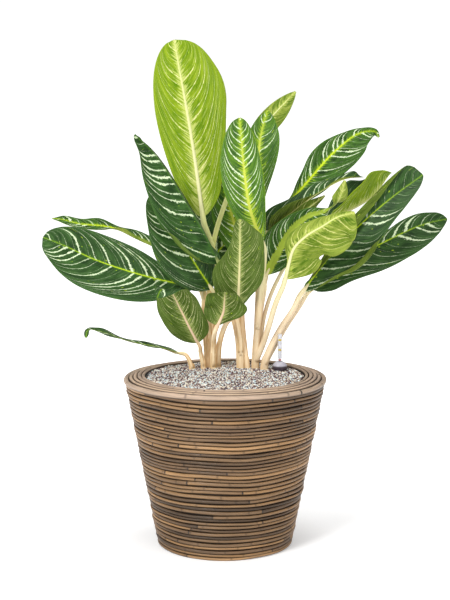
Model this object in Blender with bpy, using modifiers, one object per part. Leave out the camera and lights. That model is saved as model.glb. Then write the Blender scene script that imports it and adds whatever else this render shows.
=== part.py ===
"""Potted Chinese evergreen in a rattan drypot, standing in granulate with a water gauge.

Metres, +Z up. The origin is on the floor at the middle of the pot, and the front is -Y.
Blades and stalks are given in millimetres, as a plant is measured.
"""

import math
from collections import namedtuple

import bmesh
import bpy
from mathutils import Vector, noise

MM = 0.001
GAP = 0.0003

# Pot: canes wound round a cone, with flat rings of cane on its top edge
POT_HEIGHT = 0.297
POT_TOP_RADIUS = 0.175
POT_FOOT_RADIUS = 0.1175
WALL_TOP = 0.2835
WALL_COURSES = 21
WALL_CORE = 0.005
CANE_RELIEF = 0.0035
TURNS = 32
SMALL_TURNS = 16
RIM_CANES = 5
RIM_CANE_RADIUS = 0.0042
RIM_INNER_RADIUS = 0.1372
RIM_CROWN = 0.004
RIM_UNDERSIDE = 0.2838
BOARD_THICKNESS = 0.012

# Liner: a plain tapered plastic bucket that stands on the board
LINER_WALL = 0.0018
LINER_TOP = 0.2925
LINER_TOP_RADIUS = 0.1366
LINER_FOOT_RADIUS = 0.098

# Granulate: slightly heaped in the middle
SOIL_EDGE = 0.2910
SOIL_HEAP = 0.0040
SOIL_RELIEF = 0.0016
SOIL_GRAIN = 0.011
HOLE_FLOOR = 0.262
HOLE_CLEARANCE = 0.0005

# Water gauge
GAUGE_X = 0.0958
GAUGE_Y = 0.046
COLLAR_RADIUS = 0.0130
COLLAR_FOOT = 0.2952
COLLAR_TOP = 0.3095
GAUGE_STEM_RADIUS = 0.0060
GAUGE_STEM_FOOT = 0.225
TUBE_RADIUS = 0.0043
TUBE_WALL = 0.0008
TUBE_TOP = 0.3590
FLOAT_RADIUS = 0.0027
FLOAT_HEIGHT = 0.0045

# Leaves
BLADE_THICKNESS = 0.0010
HEEL_HALF_WIDTH = 1.3
HEEL_RUN = 9.0
HEEL_GAP = 0.45
STALK_SPACING = 26.0

LIME = (0.20, 0.36, 0.01)
DARK = (0.03, 0.10, 0.03)
OLIVE = (0.11, 0.20, 0.03)
IVORY = (0.77, 0.62, 0.35)

# One half of a blade, seen on its upper side with the tip up: greatest width in millimetres, where
# along the blade it lies, how pointed the heel and tip are (small is blunt), the angle at which it
# rises from the midrib, the further angle at heel and at tip through which its margin rolls, where
# across the half that roll lies, and how soft it is. Where width is a row of numbers, they are
# widths from heel to tip, and heel and tip are the shares of the length that round off there.
# A row of angles or places of the roll is read from heel to tip in the same way.
Half = namedtuple("Half", "width widest heel tip rise roll_heel roll_tip roll_at softness",
                  defaults=(8, 0, 0, 0.7, 0.28))
# rib: points of the midrib from heel to tip. faces: where the upper side looks, heel to tip.
# wave: how many waves its margin has, their height in millimetres and where they start.
Blade = namedtuple("Blade", "rib faces left right colour wave corner steps",
                   defaults=((2.5, 2.0, 0.0), None, (13, 6)))
# points of a stalk's centre line from its start up to the blade's heel, and its two end radii
Stalk = namedtuple("Stalk", "leaf points start_radius end_radius")
# a sheath wraps the foot of a shoot where it comes out of the granulate
Sheath = namedtuple("Sheath", "x y radius top lean_x lean_y")

BLADES = {
    "leaf_tall": Blade(
        rib=[(-38, 50, 562), (-55, 54, 682), (-69, 42, 768), (-79, 20, 826), (-85, 8, 863)],
        faces=[(0.1, 1, 0.1), (0, 1, -0.2)],
        left=Half((12, 33.5, 44, 52, 59.5, 65.5, 71, 69, 59, 45, 24), 0.5, 0.05, 0.05, 6),
        right=Half(55, 0.52, 0.5, 0.45, 6),
        colour=LIME),
    "leaf_left_upper": Blade(
        rib=[(-10, 12, 485), (-35, 4, 537), (-66, -6, 591), (-103, -25, 654), (-127, -42, 686),
             (-149, -58, 707)],
        faces=[(0.25, -1, 0.1), (0.25, -1, 0.1)],
        left=Half((14, 42, 58, 64, 60, 56, 50, 42, 31, 17, 6), 0.5, 0.1, 0.04, 4,
                  (160, 160, 160, 140, 30, 0, 0, 0, 0, 0, 0), 0, 0.85, 0.1),
        right=Half(30, 0.45, 0.8, 1, -72),
        colour=DARK),
    "leaf_left_middle": Blade(
        rib=[(-23, 32, 439), (-59, 30, 495), (-94, 30, 555), (-130, 35, 599)],
        faces=[(0, -1, 0.45), (0, -1, 0.45)],
        left=Half(56, 0.42, 0.75, 0.6),
        right=Half(40, 0.45, 0.8, 0.6, 15),
        colour=DARK),
    "leaf_left_thin": Blade(
        rib=[(-114, 100, 502), (-139, 106, 513), (-166, 112, 525), (-188, 117, 534),
             (-215, 125, 539), (-260, 138, 542), (-294, 150, 549), (-311, 158, 550)],
        faces=[(0, -0.3, 0.9), (0, -0.2, 0.95), (0, -0.5, 0.8), (0, -0.4, 0.9)],
        left=Half((12, 14, 16, 16, 13, 11, 15, 15, 13, 8, 3), 0.5, 0.1, 0.06, 5,
                  (150, 150, 150, 140, 60, 0, 0, 0, 0, 0, 0), 0, 0.6, 0.15),
        right=Half((16, 20, 20, 16, 11, 13, 17, 15, 13, 10, 3), 0.5, 0.1, 0.06, 10),
        colour=DARK, wave=(3, 1.5, 0.8), steps=(13, 4)),
    "leaf_left_broad": Blade(
        rib=[(-48, 50, 440), (-121, 48, 455), (-223, 50, 487), (-285, 45, 516), (-314, 40, 528)],
        faces=[(0, -1, 0.5), (-0.1, -1, 0.5)],
        left=Half(60, 0.54, 0.75, 0.45),
        right=Half(47, 0.58, 0.9, 0.5),
        colour=DARK),
    "leaf_low_left": Blade(
        rib=[(-47, 30, 345), (-60, 15, 372), (-76, 0, 408), (-93, -14, 441), (-108, -34, 446),
             (-114, -42, 434)],
        faces=[(0.2, 1, 0.2), (0.2, 1, 0.1), (0, 0.3, 1), (0.2, -1, 0.7)],
        left=Half((12, 27, 33, 34, 34, 35, 36, 35, 30, 20, 8), 0.5, 0.08, 0.06, 6),
        right=Half((14, 27, 35, 40, 42, 43, 41, 36, 22, 10, 4), 0.5, 0.08, 0.06, 6),
        colour=OLIVE, steps=(12, 4)),
    "leaf_low_front": Blade(
        rib=[(-13, 4, 379), (-3, -8, 404), (-1, -22, 426), (0, -38, 443)],
        faces=[(0, 1, 0.2), (0, 1, 0)],
        left=Half(30, 0.62, 0.6, 0.5, 6),
        right=Half((20, 27, 32, 33, 33, 33, 33, 32, 30, 26, 18), 0.5, 0.08, 0.12, 6),
        colour=OLIVE, corner=("left", 0.42, 0.14, 0.5), steps=(9, 6)),
    "leaf_front_olive": Blade(
        rib=[(22, 6, 411), (24, -6, 462), (25, -28, 514), (25, -55, 568)],
        faces=[(0, 1, 0.3), (0, 1, 0.3)],
        left=Half((10, 19, 33, 41, 43, 43, 42, 41, 37, 21, 8), 0.5, 0.08, 0.05),
        right=Half((18, 36, 43, 46, 44, 35, 25, 17, 13, 11, 7), 0.5, 0.08, 0.05),
        colour=OLIVE, steps=(10, 6)),
    "leaf_centre": Blade(
        rib=[(63, 4, 522), (42, -6, 582), (32, -12, 647), (27, -18, 702), (24, -20, 734)],
        faces=[(0, -1, 0), (0, -1, 0.2)],
        left=Half(40, 0.55, 0.75, 0.5),
        right=Half(34, 0.5, 0.7, 0.5, 10, 35, 35),
        colour=DARK),
    "leaf_centre_back": Blade(
        rib=[(62, 64, 564), (58, 72, 624), (59, 82, 676), (65, 92, 714), (74, 100, 744)],
        faces=[(0, -1, 0), (0, -1, 0)],
        left=Half(26, 0.55, 0.75, 0.8, 10),
        right=Half(35, 0.62, 0.8, 0.6, 10),
        colour=DARK, steps=(12, 4)),
    "leaf_back_pale": Blade(
        rib=[(32, 112, 661), (58, 125, 704), (90, 138, 740), (125, 150, 776)],
        faces=[(0, 1, 0), (0, 1, 0)],
        left=Half(22, 0.55, 0.75, 0.7, 10),
        right=Half(18, 0.55, 0.75, 0.7, 10),
        colour=OLIVE, steps=(10, 4)),
    "leaf_right_upper": Blade(
        rib=[(106, 100, 575), (146, 125, 618), (198, 155, 672), (243, 176, 702), (272, 188, 703),
             (278, 192, 694)],
        faces=[(0, -1, 0.4), (0, -1, 0.4)],
        left=Half((4, 6, 14, 21, 28, 27.5, 22.5, 15, 9, 6, 3), 0.5, 0.05, 0.04),
        right=Half((8, 20, 30, 37, 41, 43, 42, 37, 25, 10, 3), 0.5, 0.1, 0.04),
        colour=DARK),
    "leaf_right_long": Blade(
        rib=[(68, 52, 533), (113, 57, 567), (161, 64, 602), (209, 74, 626), (242, 80, 629)],
        faces=[(-0.2, 0, 1), (-0.2, 0, 1)],
        left=Half((10, 27, 30, 27, 21, 18, 17, 13, 9, 12, 13), 0.5, 0.08, 0.03, 62, 8, 8),
        right=Half((5, 19, 25, 20, 11, 5, 3, 3, 3, 3, 3), 0.5, 0.08, 0.05, 50, 24, 24),
        colour=OLIVE),
    "leaf_right_olive": Blade(
        rib=[(72, 43, 522), (103, 46, 544), (138, 48, 573), (172, 50, 599)],
        faces=[(-0.15, 0.9, 0.5), (-0.15, 0.9, 0.5)],
        left=Half(15, 0.5, 0.7, 0.7, 10),
        right=Half(14, 0.5, 0.7, 0.7, 10),
        colour=OLIVE, steps=(9, 4)),
    "leaf_right_pale": Blade(
        rib=[(103, 16, 458), (109, 6, 487), (117, -6, 514), (138, -20, 537), (163, -34, 554),
             (188, -48, 571), (215, -58, 579)],
        faces=[(0, 1, 0.1), (0, 1, 0.1)],
        left=Half((18, 44, 53, 53, 45, 46, 56, 58, 53, 48, 40), 0.5, 0.08, 0.08, 5),
        right=Half((4, 3, 5, 16, 23, 21, 17, 14, 9, 6, 4), 0.5, 0.1, 0.05, 12),
        colour=LIME, wave=(2.5, 3.6, 1.8)),
    "leaf_right_inner": Blade(
        rib=[(71, 34, 464), (90, 31, 500), (113, 26, 540), (142, 20, 566), (172, 14, 576),
             (189, 10, 588), (197, 9, 604), (203, 8, 628)],
        faces=[(0.2, -1, 0.4), (0.2, -1, 0.4), (0.1, -1, 0.4), (0.1, -1, 0.4), (0, -1, 0.4),
               (0, -1, 0.4), (-0.85, -0.1, 0.5), (0, 1, 0.1), (0, 1, 0.1)],
        left=Half((16, 30, 36, 32, 24, 16, 11, 6, 13, 11, 3), 0.5, 0.08, 0.04, 12),
        right=Half((10, 22, 30, 33, 32, 28, 20, 7, 13, 10, 3), 0.5, 0.08, 0.04, 12),
        colour=DARK),
    "leaf_right_lime": Blade(
        rib=[(174, 68, 552), (218, 80, 570), (258, 95, 593), (293, 120, 634)],
        faces=[(-0.6, 0, 0.8), (-0.6, 0, 0.8)],
        left=Half((3, 20, 34, 42, 46, 46, 42, 36, 28, 18, 6), 0.5, 0.08, 0.06, 82),
        right=Half((3, 15, 22, 26, 34, 42, 47, 47, 41, 27, 10), 0.5, 0.08, 0.06, 52),
        colour=LIME, steps=(11, 6)),
    "leaf_right_rolled": Blade(
        rib=[(136, 50, 433), (182, 45, 495), (231, 38, 548), (286, 28, 598), (336, 15, 637)],
        faces=[(0, -1, 0.4), (0, -1, 0.4)],
        left=Half((5, 10, 18, 28, 36, 40, 40, 39, 39, 35, 28), 0.5, 0.12, 0.06, 8,
                  (120, 140, 150, 155, 155, 155, 155, 155, 155, 150, 80), 0,
                  (0.45, 0.45, 0.45, 0.45, 0.45, 0.48, 0.54, 0.62, 0.72, 0.86, 1), 0.15),
        right=Half((14, 28, 45, 63, 68, 62, 43, 35, 29, 20, 9), 0.5, 0.12, 0.06, 8,
                   (150, 155, 160, 165, 165, 150, 20, 0, 0, 0, 0), 0, 0.84, 0.1),
        colour=DARK, steps=(14, 14)),
    "leaf_right_lower": Blade(
        rib=[(153, 75, 433), (212, 90, 479), (274, 105, 509), (355, 125, 543), (396, 135, 551)],
        faces=[(0, -1, 0.5), (0, -1, 0.5)],
        left=Half((4, 8, 12, 14, 15, 16, 17, 22, 22, 17, 14), 0.5, 0.12, 0.08),
        right=Half((20, 29, 35, 42, 47, 48, 47, 45, 38, 25, 6), 0.5, 0.12, 0.04),
        colour=DARK),
    "leaf_low_left_thin": Blade(
        rib=[(-77, 45, 324), (-113, 35, 336), (-164, 20, 349), (-218, 5, 370), (-234, -2, 373),
             (-238, -6, 360)],
        faces=[(0, -0.1, 1), (0, -0.2, 1)],
        left=Half((4, 8, 8, 8, 9, 9, 10, 13, 10, 6, 4), 0.5, 0.08, 0.06),
        right=Half((4, 14, 16, 11, 9, 11, 12, 13, 9, 6, 5), 0.5, 0.08, 0.06),
        colour=DARK, steps=(13, 4)),
    "leaf_inner_upper": Blade(
        rib=[(30, 106, 479), (18, 118, 538), (7, 130, 580), (2, 140, 625)],
        faces=[(0, -1, 0.2), (0, -1, 0.2)],
        left=Half(36, 0.5, 0.7, 0.7),
        right=Half(32, 0.5, 0.7, 0.7),
        colour=DARK, steps=(9, 4)),
    "leaf_inner_small": Blade(
        rib=[(-23, 124, 478), (-10, 128, 496), (4, 132, 511), (20, 138, 530)],
        faces=[(0, -1, 0.3), (0, -1, 0.3)],
        left=Half(22, 0.5, 0.7, 0.7),
        right=Half(22, 0.5, 0.7, 0.7),
        colour=DARK, steps=(8, 4)),
    "leaf_inner_back": Blade(
        rib=[(-14, 146, 468), (-28, 150, 514), (-39, 154, 559), (-44, 157, 594)],
        faces=[(0, -1, 0.3), (0, -1, 0.3)],
        left=Half(26, 0.5, 0.7, 0.7),
        right=Half(26, 0.5, 0.7, 0.7),
        colour=DARK, steps=(9, 4)),
}

SHOOTS = {
    "shoot_far_left": (
        [Sheath(-58, 50, 5.5, 305, -1, 0)],
        [Stalk("leaf_low_left_thin", [(-58, 50, 297), (-63, 48, 313)], 4.8, 3.2)]),
    "shoot_low_left": (
        [Sheath(-38, 54, 4.8, 312, -1, -2)],
        [Stalk("leaf_low_left", [(-38, 54, 300), (-43, 46, 326)], 4.2, 3.0)]),
    "shoot_left": (
        [Sheath(-30, 69, 9.0, 376, 6, -6)],
        [Stalk("leaf_left_broad", [(-32, 66, 324), (-34, 63, 350), (-37, 55, 385), (-37, 51, 408)],
               5.4, 3.8),
         Stalk("leaf_left_middle", [(-28, 66, 320), (-27, 61, 350), (-29, 51, 385), (-30, 42, 411)], 5.2, 3.6),
         Stalk("leaf_left_thin", [(-31, 69, 326), (-32, 73, 387), (-46, 86, 437), (-79, 95, 477)],
               4.8, 3.0),
         Stalk("leaf_back_pale", [(-29, 70, 322), (-28, 80, 413), (-26, 88, 479), (-14, 94, 539),
                                  (9, 102, 605)], 4.9, 3.8)]),
    "shoot_front": (
        [Sheath(-21, 55, 5.8, 328, 0.5, -8)],
        [Stalk("leaf_low_front", [(-21, 54, 300), (-20, 42, 339)], 5.2, 3.8)]),
    "shoot_front_inner": (
        [Sheath(-12.8, 65.5, 5.2, 342, 2.5, -11)],
        [Stalk("leaf_front_olive", [(-12.8, 64, 300), (-10, 54, 337), (3, 32, 380)], 5.0, 4.0)]),
    "shoot_middle": (
        [Sheath(27, 57, 7.2, 345, -2, -1), Sheath(38.5, 58, 5.4, 318, -2, 2)],
        [Stalk("leaf_tall", [(26, 57, 318), (24, 57, 345), (16, 54, 385), (-8, 53, 461),
                             (-29, 53, 530)], 6.6, 4.8),
         Stalk("leaf_left_upper", [(26, 55, 324), (26, 53, 345), (19, 42, 387), (5, 26, 435)],
               5.6, 3.8),
         Stalk("leaf_inner_upper", [(38, 59, 300), (34, 63, 336), (30, 76, 387), (32, 94, 439)],
               5.2, 3.6),
         Stalk("leaf_inner_small", [(37.5, 60, 308), (33, 65, 336), (22, 82, 387), (-2, 106, 439)],
               4.4, 2.8),
         Stalk("leaf_inner_back", [(37, 60, 304), (34, 67, 336), (23, 90, 386), (4, 122, 430)],
               4.2, 2.8)]),
    "shoot_right_middle": (
        [Sheath(53, 60, 6.8, 352, 2, -7)],
        [Stalk("leaf_centre", [(54, 57, 320), (55, 53, 346), (59, 38, 401), (64, 18, 465)],
               6.2, 4.8),
         Stalk("leaf_centre_back", [(54, 56, 335), (56, 58, 385), (58, 62, 440), (61, 64, 504)],
               5.0, 3.6),
         Stalk("leaf_right_long", [(57, 45, 376), (62, 46, 430), (63, 49, 485)], 4.6, 3.4),
         Stalk("leaf_right_olive", [(58, 40, 392), (67, 41, 440), (70, 43, 485)], 4.2, 2.6),
         Stalk("leaf_right_upper", [(55, 55, 340), (62, 68, 400), (75, 84, 470), (90, 94, 539)],
               4.8, 3.6),
         Stalk("leaf_right_inner", [(57, 46, 366), (64, 43, 410), (69, 38, 446)], 4.4, 3.2),
         Stalk("leaf_right_lime", [(54, 57, 324), (62, 57, 350), (68, 53, 387), (79, 54, 424),
                                   (95, 56, 459), (117, 58, 497), (144, 62, 531)], 4.2, 2.8),
         Stalk("leaf_right_pale", [(54, 58, 308), (64, 51, 333), (75, 42, 368), (88, 30, 415)],
               5.4, 4.4)]),
    "shoot_right": (
        [Sheath(68, 49, 7.0, 318, 4, 2)],
        [Stalk("leaf_right_rolled", [(68, 49, 304), (79, 53, 330), (99, 57, 368), (119, 49, 401)],
               6.2, 4.2),
         Stalk("leaf_right_lower", [(70, 50, 306), (84, 57, 330), (106, 64, 367), (132, 67, 406)],
               5.4, 3.8)]),
}


def clear_scene():
    for found in list(bpy.data.objects):
        bpy.data.objects.remove(found, do_unlink=True)
    for found in list(bpy.data.collections):
        bpy.data.collections.remove(found)


def add_collection(name, shown=True):
    made = bpy.data.collections.new(name)
    made.hide_render = not shown
    bpy.context.scene.collection.children.link(made)
    return made


def add_material(name, colour, roughness, metallic=0.0, alpha=1.0):
    made = bpy.data.materials.new(name)
    made.use_nodes = True
    shader = made.node_tree.nodes["Principled BSDF"]
    shader.inputs["Base Color"].default_value = (*colour, 1.0)
    shader.inputs["Roughness"].default_value = roughness
    shader.inputs["Metallic"].default_value = metallic
    shader.inputs["Alpha"].default_value = alpha
    return made


def add_object(name, mesh, collection, material=None, smooth_angle=None):
    made = bpy.data.objects.new(name, mesh)
    collection.objects.link(made)
    if material:
        mesh.materials.clear()
        mesh.materials.append(material)
    if smooth_angle is not None:
        mesh.shade_smooth()
        mesh.set_sharp_from_angle(angle=math.radians(smooth_angle))
    return made


def settled_mesh(source):
    """The evaluated mesh of an object, with its modifiers applied and its loose caps welded."""
    bpy.context.view_layer.update()
    evaluated = source.evaluated_get(bpy.context.evaluated_depsgraph_get())
    mesh = bpy.data.meshes.new_from_object(evaluated)
    shape = bmesh.new()
    shape.from_mesh(mesh)
    bmesh.ops.remove_doubles(shape, verts=shape.verts, dist=0.00001)
    shape.to_mesh(mesh)
    shape.free()
    return mesh


def turned(name, profile, collection, material, closed=False, turns=TURNS):
    """A profile of (radius, height) points, top to bottom down its outer side, turned about +Z."""
    mesh = bpy.data.meshes.new(name)
    shape = bmesh.new()
    points = [shape.verts.new((radius, 0, height)) for radius, height in profile]
    ends = points[1:] + points[:1] if closed else points[1:]
    for first, second in zip(points, ends):
        shape.edges.new((first, second))
    shape.to_mesh(mesh)
    shape.free()
    made = add_object(name, mesh, collection, material)
    screw = made.modifiers.new("turn", "SCREW")
    screw.steps = turns
    screw.render_steps = turns
    screw.use_merge_vertices = True
    screw.merge_threshold = 0.00001
    solid = settled_mesh(made)
    bpy.data.objects.remove(made, do_unlink=True)
    return add_object(name, solid, collection, material, smooth_angle=40)


def union_with(base, others):
    """Joins a collection's solids to the base and removes them."""
    joined = base.modifiers.new("join", "BOOLEAN")
    joined.operation = "UNION"
    joined.operand_type = "COLLECTION"
    joined.collection = others
    joined.solver = "EXACT"
    joined.use_self = True
    mesh = settled_mesh(base)
    base.modifiers.clear()
    base.data = mesh
    for used in list(others.objects):
        bpy.data.objects.remove(used, do_unlink=True)
    bpy.data.collections.remove(others)
    return base


def wall_radius(height):
    """Outermost radius of the wound wall at a height."""
    rise = height / WALL_TOP
    return POT_FOOT_RADIUS + (POT_TOP_RADIUS - 0.0015 - POT_FOOT_RADIUS) * rise


def cane_wall(collection, material):
    """Courses of cane one above the other, each a ridge with a groove below it."""
    course = (WALL_TOP - 0.0006) / WALL_COURSES
    outside = []
    for index in range(WALL_COURSES):
        top = WALL_TOP - index * course
        middle = top - course / 2
        outside.append((wall_radius(top) - CANE_RELIEF, top))
        outside.append((wall_radius(middle), middle))
    foot = WALL_TOP - WALL_COURSES * course
    outside.append((wall_radius(foot) - CANE_RELIEF, foot))
    inset = CANE_RELIEF + WALL_CORE
    inside = [(wall_radius(foot) - inset, foot), (wall_radius(WALL_TOP) - inset, WALL_TOP)]
    return turned("cane_wall", outside + inside, collection, material, closed=True)


def cane_rim(collection, material):
    """Flat rings of cane side by side on the wall's top edge, highest in the middle."""
    pitch = (POT_TOP_RADIUS - RIM_INNER_RADIUS) / RIM_CANES
    profile = []
    for ring in range(RIM_CANES):
        share = (ring + 0.5) / RIM_CANES
        centre = RIM_INNER_RADIUS + pitch * (ring + 0.5)
        height = POT_HEIGHT - RIM_CANE_RADIUS - RIM_CROWN * (1 - math.sin(math.pi * share))
        for angle in (140, 90, 40) if ring < RIM_CANES - 1 else (130, 80, 30, -30):
            turn = math.radians(angle)
            profile.append((centre + pitch * 0.5 * math.cos(turn),
                            height + RIM_CANE_RADIUS * math.sin(turn)))
    foot = [(POT_TOP_RADIUS - 0.003, RIM_UNDERSIDE), (RIM_INNER_RADIUS, RIM_UNDERSIDE)]
    return turned("cane_rim", profile + foot, collection, material, closed=True)


def base_board(collection, material):
    radius = wall_radius(0) - CANE_RELIEF - WALL_CORE - GAP
    profile = [(0, BOARD_THICKNESS), (radius + 0.0012, BOARD_THICKNESS), (radius, 0), (0, 0)]
    return turned("base_board", profile, collection, material)


def liner_radius(height):
    rise = (height - BOARD_THICKNESS) / (LINER_TOP - BOARD_THICKNESS)
    return LINER_FOOT_RADIUS + (LINER_TOP_RADIUS - LINER_FOOT_RADIUS) * rise


def liner(collection, material):
    foot = BOARD_THICKNESS + GAP
    floor = foot + LINER_WALL
    profile = [
        (0, floor),
        (liner_radius(foot) - LINER_WALL, floor),
        (LINER_TOP_RADIUS - LINER_WALL, LINER_TOP),
        (LINER_TOP_RADIUS, LINER_TOP),
        (liner_radius(foot), foot),
        (0, foot),
    ]
    return turned("liner", profile, collection, material)


def soil_height(x, y):
    """The granulate's smooth level, before its grains."""
    share = (x * x + y * y) / (LINER_TOP_RADIUS * LINER_TOP_RADIUS)
    return SOIL_EDGE + SOIL_HEAP * (1 - share)


def upright_peg(name, x, y, foot, top, radius, collection, sides=12):
    mesh = bpy.data.meshes.new(name)
    shape = bmesh.new()
    bmesh.ops.create_cone(shape, cap_ends=True, segments=sides, radius1=radius, radius2=radius,
                          depth=top - foot)
    bmesh.ops.translate(shape, verts=shape.verts, vec=(x, y, (top + foot) / 2))
    shape.to_mesh(mesh)
    shape.free()
    return add_object(name, mesh, collection)


def granulate(collection, cutters, material):
    """The filled bucket's content: a grainy heaped top with plain holes for shoots and gauge."""
    floor = BOARD_THICKNESS + GAP + LINER_WALL + GAP
    inset = LINER_WALL + GAP
    rings = 10
    edge = liner_radius(SOIL_EDGE) - inset - 0.0001
    profile = [(edge * index / rings, soil_height(edge * index / rings, 0))
               for index in range(rings + 1)]
    profile += [(liner_radius(floor) - inset, floor), (0, floor)]
    made = turned("granulate", profile, collection, material)
    for vertex in made.data.vertices:
        radius = math.hypot(vertex.co.x, vertex.co.y)
        if vertex.co.z > SOIL_EDGE - 0.001 and radius < edge - 0.001:
            grain = noise.noise(vertex.co / SOIL_GRAIN)
            vertex.co.z += SOIL_RELIEF * (grain + 0.4)
    for sheaths, _ in SHOOTS.values():
        for sheath in sheaths:
            upright_peg("foot_hole", sheath.x * MM, sheath.y * MM, HOLE_FLOOR - GAP,
                        POT_HEIGHT + 0.01, sheath.radius * MM + HOLE_CLEARANCE, cutters)
    upright_peg("gauge_hole", GAUGE_X, GAUGE_Y, GAUGE_STEM_FOOT - GAP, POT_HEIGHT + 0.01,
                GAUGE_STEM_RADIUS + HOLE_CLEARANCE, cutters, sides=16)
    cut = made.modifiers.new("holes", "BOOLEAN")
    cut.operation = "DIFFERENCE"
    cut.operand_type = "COLLECTION"
    cut.collection = cutters
    cut.solver = "EXACT"
    for cutter in cutters.objects:
        cutter.hide_render = True
        cutter.display_type = "WIRE"
    return made


def water_gauge(collection, collar_material, clear_material, red_material):
    """A coned collar on the granulate, a clear tube on it and a short red float in the tube."""
    cone = [(0.0055, COLLAR_TOP), (0.0085, COLLAR_TOP - 0.0023), (0.0116, COLLAR_TOP - 0.0053),
            (COLLAR_RADIUS, COLLAR_TOP - 0.0085)]
    seat = COLLAR_TOP - 0.002
    socket = TUBE_RADIUS - TUBE_WALL - GAP
    profile = [(0, COLLAR_TOP), (socket, COLLAR_TOP), (socket, seat), (TUBE_RADIUS + GAP, seat),
               (TUBE_RADIUS + GAP, COLLAR_TOP), *cone, (COLLAR_RADIUS, COLLAR_FOOT),
               (GAUGE_STEM_RADIUS, COLLAR_FOOT), (GAUGE_STEM_RADIUS, GAUGE_STEM_FOOT),
               (0, GAUGE_STEM_FOOT)]
    collar = turned("gauge_collar", profile, collection, collar_material, turns=SMALL_TURNS)
    tube = turned("gauge_tube", [
        (0, TUBE_TOP), (TUBE_RADIUS, TUBE_TOP), (TUBE_RADIUS, seat + GAP),
        (TUBE_RADIUS - TUBE_WALL, seat + GAP), (TUBE_RADIUS - TUBE_WALL, TUBE_TOP - TUBE_WALL),
        (0, TUBE_TOP - TUBE_WALL)], collection, clear_material, turns=SMALL_TURNS)
    low = COLLAR_TOP + GAP
    red = turned("gauge_float", [
        (0, low + FLOAT_HEIGHT), (FLOAT_RADIUS, low + FLOAT_HEIGHT), (FLOAT_RADIUS, low),
        (0, low)], collection, red_material, turns=SMALL_TURNS)
    for piece in (collar, tube, red):
        piece.location = (GAUGE_X, GAUGE_Y, 0)


def spline(points, share):
    """A point on a smooth curve through the points, share running from 0 to 1 along it."""
    knots = [0.0]
    for first, second in zip(points, points[1:]):
        knots.append(knots[-1] + (second - first).length ** 0.75)
    knots = [knot / knots[-1] for knot in knots]
    points = [2 * points[0] - points[1], *points, 2 * points[-1] - points[-2]]
    knots = [-knots[1], *knots, 2 - knots[-2]]
    span = 0
    while span < len(points) - 4 and share >= knots[span + 2]:
        span += 1
    near = points[span:span + 4]
    at = knots[span:span + 4]
    for width in (1, 2):
        near = [
            near[i] * ((at[i + width] - share) / (at[i + width] - at[i]))
            + near[i + 1] * ((share - at[i]) / (at[i + width] - at[i]))
            for i in range(len(near) - 1)
        ]
        if width == 2:
            near = [near[0] * ((at[2] - share) / (at[2] - at[1]))
                    + near[1] * ((share - at[1]) / (at[2] - at[1]))]
    return near[0]


def eased(share):
    share = min(max(share, 0.0), 1.0)
    return share * share * (3 - 2 * share)


def tabled(value, along):
    """A plain number, or one read smoothly from a row of them spaced evenly from heel to tip."""
    if not isinstance(value, tuple):
        return value
    place = min(max(along, 0.0), 1.0) * (len(value) - 1)
    index = min(int(place), len(value) - 2)
    share = place - index
    first, second = value[index], value[index + 1]
    before = value[index - 1] if index else first
    after = value[index + 2] if index + 2 < len(value) else second
    bend = (2 * before - 5 * first + 4 * second - after, 3 * (first - second) + after - before)
    return first + share * (second - before + share * (bend[0] + share * bend[1])) / 2


def half_width(half, along):
    """Half the blade's width in millimetres: none at its ends, greatest at half.widest."""
    if isinstance(half.width, tuple):
        heel_end = 1 - min(along / half.heel, 1.0)
        tip_end = 1 - min((1 - along) / half.tip, 1.0)
        rounding = math.sqrt(max(0.0, (1 - heel_end ** 2) * (1 - tip_end ** 2)))
        return tabled(half.width, along) * rounding
    warp = math.log(0.5) / math.log(half.widest)
    bluntness = half.heel + (half.tip - half.heel) * along
    along = min(max(along, 0.0001), 0.9999)
    return half.width * math.sin(math.pi * along ** warp) ** bluntness


def blade_point(blade, along, across):
    """A point of the blade in millimetres: along from heel to tip, across from -1 to 1."""
    rib = [Vector(point) for point in blade.rib]
    step = 0.02
    ahead = spline(rib, min(along + step, 1.0))
    behind = spline(rib, max(along - step, 0.0))
    tangent = (ahead - behind).normalized()
    place = along * (len(blade.faces) - 1)
    index = min(int(place), len(blade.faces) - 2)
    first = Vector(blade.faces[index]).normalized()
    second = Vector(blade.faces[index + 1]).normalized()
    face = first.lerp(second, eased(place - index)).normalized()
    sideways = tangent.cross(face).normalized()
    upward = sideways.cross(tangent)
    side = "right" if across >= 0 else "left"
    half = getattr(blade, side)
    width = max(half_width(half, along), HEEL_HALF_WIDTH)
    if blade.corner and blade.corner[0] == side:
        _, centre, spread, more = blade.corner
        width *= 1 + more * math.exp(-(((along - centre) / spread) ** 2))
    heel = eased(along / 0.12)
    rise = math.radians(half.rise) * heel * eased((1 - along) / 0.1)
    roll = half.roll_heel
    if isinstance(roll, tuple):
        roll = tabled(roll, along)
    else:
        roll += (half.roll_tip - half.roll_heel) * along
    roll = math.radians(roll) * heel
    roll_at = tabled(half.roll_at, along)
    out = up = 0.0
    pieces = 24
    reach = abs(across)
    for piece in range(pieces):
        share = reach * (piece + 0.5) / pieces
        angle = rise + roll * eased((share - roll_at + half.softness) / (2 * half.softness))
        out += math.cos(angle) * reach / pieces
        up += math.sin(angle) * reach / pieces
    waves, height, start = blade.wave
    phase = 2 * math.pi * waves * along + start + (2.1 if across >= 0 else 0.0)
    lift = height * reach * reach * math.sin(phase) * min(1.0, 5 * along * (1 - along))
    outward = 1 if across >= 0 else -1
    return spline(rib, along) + sideways * (outward * out * width) + upward * (up * width + lift)


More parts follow.
